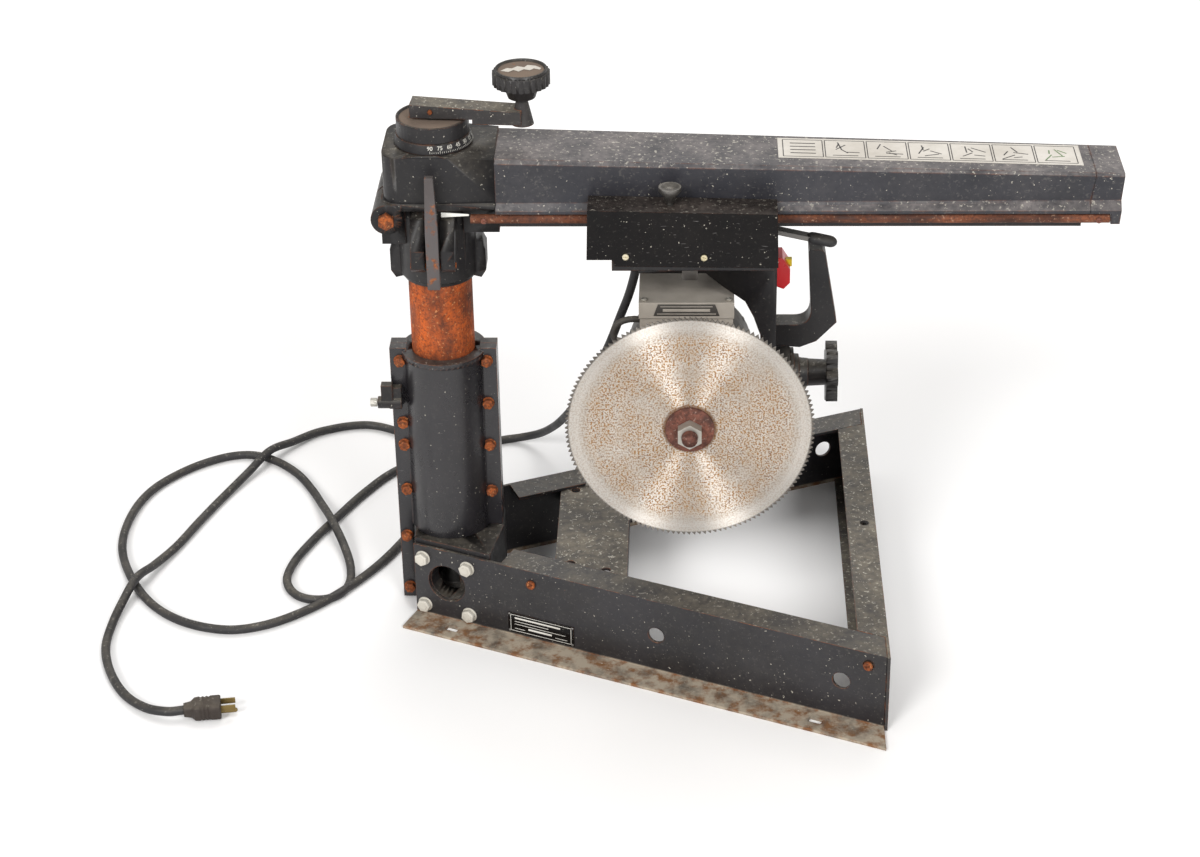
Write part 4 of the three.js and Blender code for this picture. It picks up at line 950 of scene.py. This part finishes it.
# ---------------------------------------------------------------- mains cord
@dataclass
class MainsCord(Details):
    """The rubber mains lead, its strain relief and its moulded plug; sizes in millimetres."""

    radius: float = 4.8
    level: float = 5.0
    exit: Triple = (203.0, 38.0, 403.4)
    plug_rear: Triple = (-262.0, -240.0, 10.2)
    plug_foot: float = 0.2
    plug_middle: float = 9.9
    plug_yaw: float = math.radians(9.5)
    plug_length: float = 38.0
    blade_y: float = 6.35
    relief_top: float = 404.0
    ribs: int = 7
    route: list[tuple[float, ...]] = field(default_factory=lambda: [
        (203, 38, 391), (201, 42, 374), (194, 53, 342), (184, 67, 308), (173, 84, 270), (160, 105, 230),
        (144, 137, 184), (128, 180, 136), (110, 234, 86), (94, 280, 48), (76, 313, 21), (54, 327, 8), (32, 326),
        (0, 311), (-45, 286), (-90, 253), (-122, 203), (-150, 143), (-172, 92), (-187, 45), (-188, 8),
        (-170, -20), (-140, -24), (-121, -3), (-120, 34, 6), (-133, 80, 10), (-153, 128, 15.5), (-169, 170, 9),
        (-185, 208, 5), (-208, 246), (-240, 277), (-270, 289), (-303, 281), (-342, 251), (-374, 205),
        (-388, 147), (-386, 82), (-364, 18), (-331, -36), (-291, -70), (-243, -85), (-204, -77), (-166, -52),
        (-130, -15), (-96, 35), (-70, 90), (-52, 145), (-45, 200, 6), (-47, 245, 10), (-55, 282, 15.5),
        (-73, 322, 9), (-102, 349), (-140, 362), (-190, 346, 5.5), (-222, 313, 9), (-244, 281, 15.5),
        (-264, 243, 9), (-286, 194, 5), (-306, 138), (-324, 82, 5.5), (-341, 38, 9), (-354, 1, 15.5),
        (-363, -36, 9), (-368, -78, 5), (-366, -122), (-352, -167), (-330, -206), (-303, -232, 7),
        (-278, -242.3, 9.8),
    ])

    def points(self) -> list[Vector]:
        """Gives the whole route in metres, from the exit to the plug."""
        inner = [self.ground.at(p[0], p[1], p[2] if len(p) == 3 else self.level) for p in self.route]
        return [self.ground.at(*self.exit), *inner, self.ground.at(*self.plug_rear)]

    def curve(self) -> bpy.types.Object:
        """Builds the cord as one smooth curve whose handles never dip below its rest on the floor.

        Returns:
            The cord.
        """
        points = self.points()
        data = bpy.data.curves.new("mains_cord", "CURVE")
        data.dimensions = "3D"
        data.bevel_depth = self.radius * MM
        data.bevel_resolution = 4
        data.resolution_u = 10
        data.use_fill_caps = True
        spline = data.splines.new("BEZIER")
        spline.bezier_points.add(len(points) - 1)
        floor = self.radius * MM
        for i, (knot, here) in enumerate(zip(spline.bezier_points, points)):
            before = points[max(i - 1, 0)]
            after = points[min(i + 1, len(points) - 1)]
            way = (after - before).normalized()
            knot.handle_left_type = knot.handle_right_type = "FREE"
            knot.co = here
            knot.handle_left = here - way * (here - before).length / 3
            knot.handle_right = here + way * (after - here).length / 3
            knot.handle_left.z = max(knot.handle_left.z, floor)
            knot.handle_right.z = max(knot.handle_right.z, floor)
        data.materials.append(self.finishes["cord_rubber"])
        cord = bpy.data.objects.new("mains_cord", data)
        bpy.context.scene.collection.objects.link(cord)
        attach(cord, "base")
        return cord

    def strain_relief(self) -> None:
        """Builds the ribbed tapered sleeve where the cord leaves the yoke."""
        profile = [(self.radius + 0.1, 0.0), (8.4, 0.0), (8.6, -1.0)]
        for i in range(self.ribs):
            start = -2.0 - 4.0 * i
            wide = 8.0 - 0.36 * i
            profile += [(wide, start), (wide - 0.2, start - 2.4), (wide - 1.0, start - 2.7), (wide - 1.0, start - 3.7)]
        profile += [(self.radius + 0.5, -30.6), (self.radius + 0.1, -30.6)]
        place = seat(self.ground.at(*self.exit[:2], self.relief_top), Vector((2.4, -5.0, 36.0)))
        self.add("cord_strain_relief", moved(turned_profile(profile, 28), place), "cord_rubber", "yoke", "rubber")

    def grip(self) -> Shape:
        """Builds the moulded body with its finger ridges, lying along +X.

        Returns:
            The shape.
        """
        body = bmesh.new()
        stations = [(0.0, 6.0, 6.2), (7.5, 7.4, 7.2), (11.5, 12.0, 9.3), (16.0, 12.4, 9.8), (18.0, 11.3, 9.0),
                    (20.0, 12.4, 9.8), (22.0, 11.3, 9.0), (24.0, 12.4, 9.8), (26.0, 11.3, 9.0), (28.0, 12.4, 9.8),
                    (37.0, 12.4, 9.8), (self.plug_length, 11.6, 9.2)]
        rings = []
        for along, wide, tall in stations:
            circle = bmesh.ops.create_circle(body, segments=28, radius=1.0)["verts"]
            for corner in circle:
                across, up = corner.co.x, corner.co.y
                squared = (abs(across) ** 4 + abs(up) ** 4) ** -0.25
                corner.co = (along * MM, across * squared * wide * MM, (self.plug_middle + up * squared * tall) * MM)
            rings.append(circle)
        for first, second in zip(rings, rings[1:]):
            edges = {e for ring in (first, second) for v in ring for e in v.link_edges if e.other_vert(v) in ring}
            bmesh.ops.bridge_loops(body, edges=list(edges))
        for ring in (rings[0], rings[-1]):
            bmesh.ops.contextual_create(body, geom=ring)
        bmesh.ops.recalc_face_normals(body, faces=body.faces)
        return body

    def plug(self) -> list[bpy.types.Object]:
        """Builds the plug's body, its blades and its earth pin.

        Returns:
            The three pieces.
        """
        place = self.ground.shift(*self.plug_rear[:2], self.plug_foot) @ Matrix.Rotation(self.plug_yaw, 4, "Z")
        grip = self.add("plug_grip", moved(self.grip(), place), "plug_rubber", "base", "rubber")
        start = self.plug_length - 2
        blade = softened(slab((start, start + 17), (-0.8, 0.8), (9, 15.4)), 0.3)
        blades = copies(blade, [place @ Matrix.Translation((0, y * MM, 0)) for y in (-self.blade_y, self.blade_y)])
        flat = self.add("plug_blades", blades, "brass_contact", "base", "zinc")
        pin = turned_profile([(0, 0), (2.4, 0), (2.4, 16.5), (1.9, 18.2), (0, 19)], 20)
        across = Matrix.Translation((start * MM, 0, 4.5 * MM)) @ Matrix.Rotation(math.pi / 2, 4, "Y")
        earth = self.add("plug_earth_pin", moved(pin, place @ across), "brass_contact", "base", "zinc")
        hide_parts("plug")
        return [grip, flat, earth]

    def build(self) -> None:
        cord = self.curve()
        self.strain_relief()
        plug = self.plug()
        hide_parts("cord_hanging", "cord_lying")
        tuple(self.ground.at(*self.exit))


# ---------------------------------------------------------------- base frame
@dataclass
class BaseDetails(Details):
    """Bolts, plate and screws on the base frame and the column support; sizes in millimetres."""

    big_bolts: tuple[Pair, ...] = ((11, 73.8), (64.3, 73.4), (11, 14.6), (65, 14.6))
    slotted: tuple[Pair, ...] = ((140.6, 72.9), (519.0, 74.0))
    flange_bolts: tuple[Pair, ...] = ((45.5, 296), (45.5, 245.7), (45.5, 195), (45.5, 138), (-45.5, 296), (-45.5, 222),
                                      (-45.5, 195), (-45.5, 140), (-48.5, 81), (-48.5, 15))
    flange_y: float = 12.1
    plate: tuple[float, float, float, float] = (112.0, 190.0, 7.0, 31.5)
    plate_thick: float = 0.7
    rivet_inset: float = 1.8

    def on_rails(self, marks: tuple[Pair, ...], turn: float, more: float = 0.0) -> list[list[Matrix]]:
        """Gives the places of heads on the rails' webs.

        Args:
            marks: Distance along and height of each.
            turn: Turn of the first one, in radians.
            more: How much more each next one is turned.

        Returns:
            The places on each side.
        """
        return [[seat(self.ground.on_rail(along, 0.1, z, side), self.ground.rail_outward(side), turn + more * i)
                 for i, (along, z) in enumerate(marks)] for side in Side]

    def heads(self) -> None:
        """Sets the rails' big bolts and slotted screws, and the clamping bolts down the column support."""
        big = Fastener(width=13.5, height=5.5, washer=8.6)
        for side, places in zip(Side, self.on_rails(self.big_bolts, 0.0, 0.3)):
            self.add(f"frame_bolts_{side.name.lower()}", copies(big.shape(), places), "chalky_zinc_bolt", "base",
                     "zinc")
        screw = Fastener(width=10.0, height=3.0, drive=Drive.SLOT)
        self.add("rail_screws", copies(screw.shape(), sum(self.on_rails(self.slotted, 0.7), [])), "rusted_bolt",
                 "base", "rusted_steel")
        bolt = Fastener(width=10.5, height=5.0, washer=6.8)
        places = [seat(self.ground.at(x, side.value * self.flange_y, z), Vector((0, side.value, 0)), 0.4 * i)
                  for side in Side for i, (x, z) in enumerate(self.flange_bolts)]
        self.add("support_bolts", copies(bolt.shape(), places), "rusted_bolt", "base", "rusted_steel")

    def rating_plate(self) -> None:
        """Builds the plain black data plate with ruled lines and its four rivets."""
        start, end, low, high = self.plate
        wide, tall = end - start, high - low
        out = self.ground.rail_outward(Side.BLADE)
        rear, front = (self.ground.on_rail(s, 0, 0, Side.BLADE) for s in (start, end))
        turned = basis((front - rear).normalized(), Vector((0, 0, 1)), out)
        place = Matrix.Translation(self.ground.on_rail(start, 0.15, low, Side.BLADE)) @ turned
        body = softened(slab((0, wide), (0, tall), (0, self.plate_thick)), 0.25)
        self.add("rating_plate", moved(body, place), "gloss_black_enamel", "base", "gloss_black")
        lines = bmesh.new()
        for left, right, under, over in [
                (3, wide - 3, tall - 2.6, tall - 2.0), (3, wide - 3, 2.0, 2.6), (3, 3.6, 2.0, tall - 2.0),
                (wide - 3.6, wide - 3, 2.0, tall - 2.0), (8, 62, 17.6, 19.6), (8, 48, 14.0, 14.7),
                (8, 68, 10.6, 11.2), (24, 52, 6.4, 8.6), (8, 20, 5.2, 5.8), (56, 70, 5.2, 5.8)]:
            add_block(lines, (left, right), (under, over), (0.725, 0.975), place)
        self.add("rating_plate_rules", lines, "scale_paint", "base", "gloss_black")
        rivet = turned_profile([(0, 0), (1.5, 0), (1.35, 0.5), (0.8, 0.9), (0, 1.05)], 16)
        spots = [(x, y) for y in (self.rivet_inset, tall - self.rivet_inset)
                 for x in (self.rivet_inset, wide - self.rivet_inset)]
        rivets = copies(rivet, [place @ Matrix.Translation((x * MM, y * MM, self.plate_thick * MM)) for x, y in spots])
        self.add("rating_plate_rivets", rivets, "dull_bare_steel", "base", "bare_steel")

    def build(self) -> None:
        """Builds everything on the base."""
        self.heads()
        self.rating_plate()


# ---------------------------------------------------------------- dial and crank
@dataclass
class DialDetails(Details):
    """The degree scale on the index ring, and the dirt in the cap; sizes in millimetres."""

    low: Pair = (40.0, 543.3)
    high: Pair = (37.3, 551.5)
    numbers: tuple[str, ...] = ("90", "75", "60", "45", "30", "15", "0", "15", "30", "45", "60", "75", "90")
    number_size: float = 5.6
    tick_step: int = 3
    dirt_foot: float = 566.15

    def on_cone(self, angle: float, share: float) -> Matrix:
        """Gives the matrix of a spot on the ring's sloping face.

        Args:
            angle: Round the column, in degrees from the arm.
            share: 0 at the foot of the slope, 1 at its top.

        Returns:
            A matrix whose X runs round the ring, Y up the slope and Z out of it.
        """
        cosine, sine = math.cos(math.radians(angle)), math.sin(math.radians(angle))
        radius, height = (foot + (top - foot) * share for foot, top in zip(self.low, self.high))
        lean = self.high[0] - self.low[0]
        up = Vector((cosine * lean, sine * lean, self.high[1] - self.low[1])).normalized()
        across = Vector((-sine, cosine, 0))
        facing = across.cross(up)
        place = self.ground.at(radius * cosine, radius * sine, height) + facing * 0.12 * MM
        return Matrix.Translation(place) @ basis(across, up, facing)

    def scale(self) -> None:
        """Builds the tick marks and the numbers."""
        marks = bmesh.new()
        for i, angle in enumerate(range(-90, 91, self.tick_step)):
            half, share = (1.3, 0.16) if i % 5 == 0 else (0.75, 0.10)
            add_block(marks, (-0.225, 0.225), (-half, half), (-0.08, 0.08), self.on_cone(angle, share))
        for i, number in enumerate(self.numbers):
            text = bpy.data.curves.new("number", "FONT")
            text.body = number
            text.size = self.number_size * MM
            text.offset = 0.12 * MM
            text.align_x = "CENTER"
            text.extrude = 0.08 * MM
            holder = bpy.data.objects.new("number", text)
            mesh = bpy.data.meshes.new_from_object(holder)
            mesh.transform(self.on_cone(-90 + 15 * i, 0.40))
            marks.from_mesh(mesh)
            bpy.data.objects.remove(holder)
            bpy.data.curves.remove(text)
            bpy.data.meshes.remove(mesh)
        self.add("degree_scale", marks, "scale_paint", "column", "cast_paint")

    def cap_dirt(self) -> None:
        """Fills the sunk top of the cap with caked dust."""
        dirt = turned_profile([(9.2, 0), (34.0, 0), (34.0, 0.5), (30, 0.35), (20, 0.6), (12, 0.3), (9.2, 0.5),
                               (9.2, 0)], 48)
        for corner in dirt.verts:
            corner.co.z += 0.15 * MM * math.sin(corner.co.x * 900) * math.cos(corner.co.y * 700)
        self.add("cap_dust", moved(dirt, self.ground.shift(z=self.dirt_foot)), "caked_dust", "column", "cast_paint")

    def build(self) -> None:
        """Builds everything on the dial."""
        self.scale()
        self.cap_dirt()


@dataclass
class CrankDetails(Details):
    """The sunk top of the crank knob, with its rusty plate and torn label; sizes in millimetres."""

    middle: Pair = (90.78, -6.35)
    recess: float = 3.0

    def build(self) -> None:
        """Builds the plate, the torn label and the knob's rim."""
        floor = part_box("crank_knob")[1].z / MM - self.recess
        plate = turned_profile([(0, 0), (23.4, 0), (23.4, 0.7), (21, 1.0), (8, 0.7), (0, 0.9)], 48)
        torn = [(-20, -3), (-14, 4), (-9, 3), (-4, 9), (3, 6), (6, 12), (14, 10), (20, 4), (19, 0), (13, 3), (9, -2),
                (3, 1), (-2, -5), (-7, -1), (-12, -6)]
        paper = raised([(x, y, 0) for x, y in torn], Vector((0, 0, 0.3)))
        rim = turned_profile([(24.2, 0), (26.0, 0), (25.9, 2.6), (24.9, 3.0), (24.2, 2.6), (24.2, 0)], 56)
        for name, shape, above, finish in (("knob_top_plate", plate, 0.1, "caked_dust"),
                                           ("knob_torn_label", paper, 1.2, "label_paper"),
                                           ("knob_rim", rim, -0.2, "black_phenolic")):
            place = self.ground.shift(*self.middle, floor + above)
            self.add(name, moved(shape, place), finish, "crank_knob", "black_plastic")


# ---------------------------------------------------------------- arm
@dataclass
class ArmDetails(Details):
    """Label, index tongue and screws on the arm; sizes in millimetres."""

    top_rear: Pair = (63.0, 537.5)
    top_front: Pair = (690.0, 518.5)
    label: tuple[float, float, float, float] = (346.0, 650.0, -18.0, 31.0)
    margin: float = 4.0
    panels: int = 7
    tongue_z: float = 481.0
    rod_screws: Pair = (51.6, 664.0)
    rod_screw_y: float = 48.9
    rod_z: float = 474.6

    def top(self, x: float) -> float:
        """Gives the height of the arm's sloping top at a distance along it."""
        (rear, high), (front, low) = self.top_rear, self.top_front
        return high + (low - high) * (x - rear) / (front - rear)

    def top_label(self) -> None:
        """Builds the paper label with its printed boxes and plain figures."""
        x0, x1, y0, y1 = self.label
        rise = (self.top(x1) - self.top(x0)) / (x1 - x0)
        place = self.ground.shift(x0, 0, self.top(x0) + 0.15) @ Matrix.Rotation(-math.atan(rise), 4, "Y")
        self.add("arm_label", moved(slab((0, x1 - x0), (y0, y1), (0, 0.25)), place), "label_paper", "arm",
                 "cast_paint")
        ink = bmesh.new()
        green = bmesh.new()

        def bar(shape: Shape, x: float, y: float, wide: float, deep: float, turn: float = 0.0) -> None:
            """Adds a printed bar.

            Args:
                shape: The print it belongs to.
                x: Its middle along the label.
                y: Its middle across the label.
                wide: Its length.
                deep: Its width.
                turn: Its slant in radians.
            """
            spot = Matrix.Translation((x * MM, y * MM, 0.33 * MM)) @ Matrix.Rotation(turn, 4, "Z")
            add_block(shape, (-wide / 2, wide / 2), (-deep / 2, deep / 2), (-0.06, 0.06), place @ spot)

        pitch = (x1 - x0 - 2 * self.margin) / self.panels
        tall = y1 - y0 - 2 * self.margin
        middle = (y0 + y1) / 2
        for i in range(self.panels):
            left = self.margin + i * pitch
            centre = left + pitch / 2
            for y in (middle - tall / 2, middle + tall / 2):
                bar(ink, centre, y, pitch - 2.5, 0.9)
            for x in (left + 1.2, left + pitch - 1.2):
                bar(ink, x, middle, 0.9, tall)
            if i == 0:
                for row in range(4):
                    bar(ink, centre, middle - 12 + 8 * row, pitch * 0.6, 1.6)
                continue
            drawing = green if i == self.panels - 1 else ink
            for stroke in range(5):
                turn = 0.9 * stroke + 1.3 * i
                x, y = centre + 8 * math.cos(turn * 2.1), middle + 9 * math.sin(turn * 1.7)
                bar(drawing, x, y, 9 + 2 * stroke, 1.3, turn)
            bar(ink, centre, middle - tall / 2 + 5, pitch * 0.6, 1.2)
        self.add("arm_label_print", ink, "label_ink", "arm", "cast_paint")
        self.add("arm_label_green", green, "label_green", "arm", "cast_paint")

    def tongue(self) -> None:
        """Builds the white pointer beside the lock lever."""
        shape = slab((9, 37), (-49.6, -48.4), (478.5, 484))
        for corner in shape.verts:
            if corner.co.x > 30 * MM:
                corner.co.z = self.tongue_z * MM + (corner.co.z - self.tongue_z * MM) * 0.35
        self.add("index_tongue", moved(softened(shape, 0.35), self.ground.shift()), "white_acetal", "arm", "rubber")

    def screws(self) -> None:
        """Sets the screws at the rods' ends."""
        small = Fastener(width=6.0, height=1.8, drive=Drive.SLOT)
        places = [seat(self.ground.at(x, side.value * self.rod_screw_y, self.rod_z), Vector((0, side.value, 0)), 0.5)
                  for side in Side for x in self.rod_screws]
        self.add("rod_screws", copies(small.shape(), places), "rusted_washer", "arm", "rusted_steel")

    def build(self) -> None:
        """Builds everything on the arm."""
        self.top_label()
        self.tongue()
        self.screws()


# ---------------------------------------------------------------- carriage and yoke
@dataclass
class CarriageDetails(Details):
    """Screws of the side covers, the index pin and the bevel washers; sizes in millimetres."""

    cover_screws: tuple[Pair, ...] = ((194.0, 450.0), (272.0, 449.0))
    cover_y: float = 80.1
    bevel_face: Pair = (362.4, 276.0)

    def build(self) -> None:
        """Builds everything on the carriage and the yoke."""
        head = Fastener(width=6.6, height=2.2, drive=Drive.SLOT)
        places = [seat(self.ground.at(x, side.value * self.cover_y, z), Vector((0, side.value, 0)), 0.8 + x)
                  for side in Side for x, z in self.cover_screws]
        self.add("cover_screws", copies(head.shape(), places), "brassy_screw", "carriage", "zinc")
        pin = softened(slab((250, 266), (-50, -45.2), (408, 421)), 1.4, 3)
        self.add("swivel_index_pin", moved(pin, self.ground.shift()), "dull_bare_steel", "yoke", "bare_steel")
        washers = turned_profile([(7.2, 0), (26, 0), (26.4, 0.6), (26.4, 3.4), (26, 4.0), (20, 4.2), (19.4, 9.4),
                                  (16, 10), (15.6, 12), (14.8, 19.2), (7.2, 19.2), (7.2, 0)], 36)
        x, z = self.bevel_face
        place = seat(self.ground.at(x, 0, z), Vector((1, 0, 0)))
        self.add("bevel_clamp_collar", moved(washers, place), "black_enamel_on_casting", "yoke", "cast_paint")


@dataclass
class MotorDetails(Details):
    """Badge, screws, vents and through-bolts of the motor; sizes in millimetres about the column."""

    axis: Pair = (258.0, 272.0)
    badge_x: float = 254.5
    badge_y: float = -54.2
    cover_screws: tuple[Pair, ...] = ((211.5, -48.0), (211.5, 20.0), (297.5, -48.0), (297.5, 20.0))
    cover_top: float = 385.1
    bolt_circle: float = 46.0
    bell_rear: float = 82.6
    louvres: int = 24
    louvre_circle: float = 65.4
    louvre_y: float = 62.6

    def badge(self) -> None:
        """Builds the plain trapezoid badge on the terminal cover's lip."""
        corners = [(-33.5, 370.5), (33.5, 370.5), (29, 383.5), (-29, 383.5)]
        plate = raised([(self.badge_x + x, self.badge_y, z) for x, z in corners], Vector((0, -0.9, 0)))
        self.add("motor_badge", moved(softened(plate, 0.3), self.ground.shift()), "cast_aluminium_oily", "motor",
                 "aluminium")
        stripe = bmesh.new()
        for half, low, high in ((26.5, 380.6, 381.6), (30, 372.4, 373.4), (24, 375.4, 378.6)):
            add_block(stripe, (self.badge_x - half, self.badge_x + half), (self.badge_y - 1.15, self.badge_y - 0.85),
                      (low, high), self.ground.shift())
        self.add("motor_badge_stripe", stripe, "folded_aluminium_stained", "motor", "aluminium")

    def screws(self) -> None:
        """Sets the corner screws of the terminal cover and the bolts of the rear bell."""
        small = Fastener(width=6.4, height=2.2, drive=Drive.SLOT)
        places = [seat(self.ground.at(x, y, self.cover_top), Vector((0, 0, 1)), 0.6 + i)
                  for i, (x, y) in enumerate(self.cover_screws)]
        self.add("terminal_screws", copies(small.shape(), places), "zinc_plate", "motor", "zinc")
        head = Fastener(width=8.0, height=4.0, washer=5.5)
        places = [seat(self.round(angle, self.bolt_circle, self.bell_rear),
                       Vector((0.22 * math.cos(angle), 1, 0.22 * math.sin(angle))))
                  for angle in (math.radians(45 + 90 * i) for i in range(4))]
        self.add("motor_through_bolts", copies(head.shape(), places), "rusted_bolt", "motor", "rusted_steel")

    def round(self, angle: float, radius: float, y: float) -> Vector:
        """Gives a point round the motor's axis.

        Args:
            angle: Round the axis, in radians from the front.
            radius: From the axis.
            y: Along the axis.

        Returns:
            The point in the frame.
        """
        return self.ground.at(self.axis[0] + radius * math.cos(angle), y, self.axis[1] + radius * math.sin(angle))

    def vents(self) -> None:
        """Builds the raised louvres round the rear bell."""
        louvre = softened(slab((-4.2, 4.2), (-0.9, 0.9), (0, 12)), 0.7)
        along = Vector((0, 1, 0))
        places = []
        for i in range(self.louvres):
            angle = math.tau * i / self.louvres
            out = Vector((math.cos(angle), 0, math.sin(angle)))
            spot = Matrix.Translation(self.round(angle, self.louvre_circle, self.louvre_y))
            places.append(spot @ basis(out.cross(along), out, along) @ Matrix.Diagonal((0.45, 1.0, 0.5, 1.0)))
        self.add("motor_louvres", copies(louvre, places), "cast_aluminium_oily", "motor", "aluminium")

    def build(self) -> None:
        """Builds everything on the motor."""
        self.badge()
        self.screws()
        self.vents()


def main() -> None:
    """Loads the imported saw, dresses it and builds what its parts don't show."""
    logging.basicConfig(level=logging.INFO, format="%(name)s: %(message)s")
    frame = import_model()
    low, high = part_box("column_tube")
    ground = Ground(column_x=(low[0] + high[0]) / 2)
    blade_low, blade_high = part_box("saw_blade")
    finishes = Finishes((Vector(blade_low) + Vector(blade_high)) / 2)
    Studio(ground).build()
    MainsCord(ground, finishes).build()
    dress_nodes(frame, finishes)
    for details in (BaseDetails, DialDetails, CrankDetails, ArmDetails, CarriageDetails, MotorDetails):
        details(ground, finishes).build()


if __name__ == "__main__":
    main()
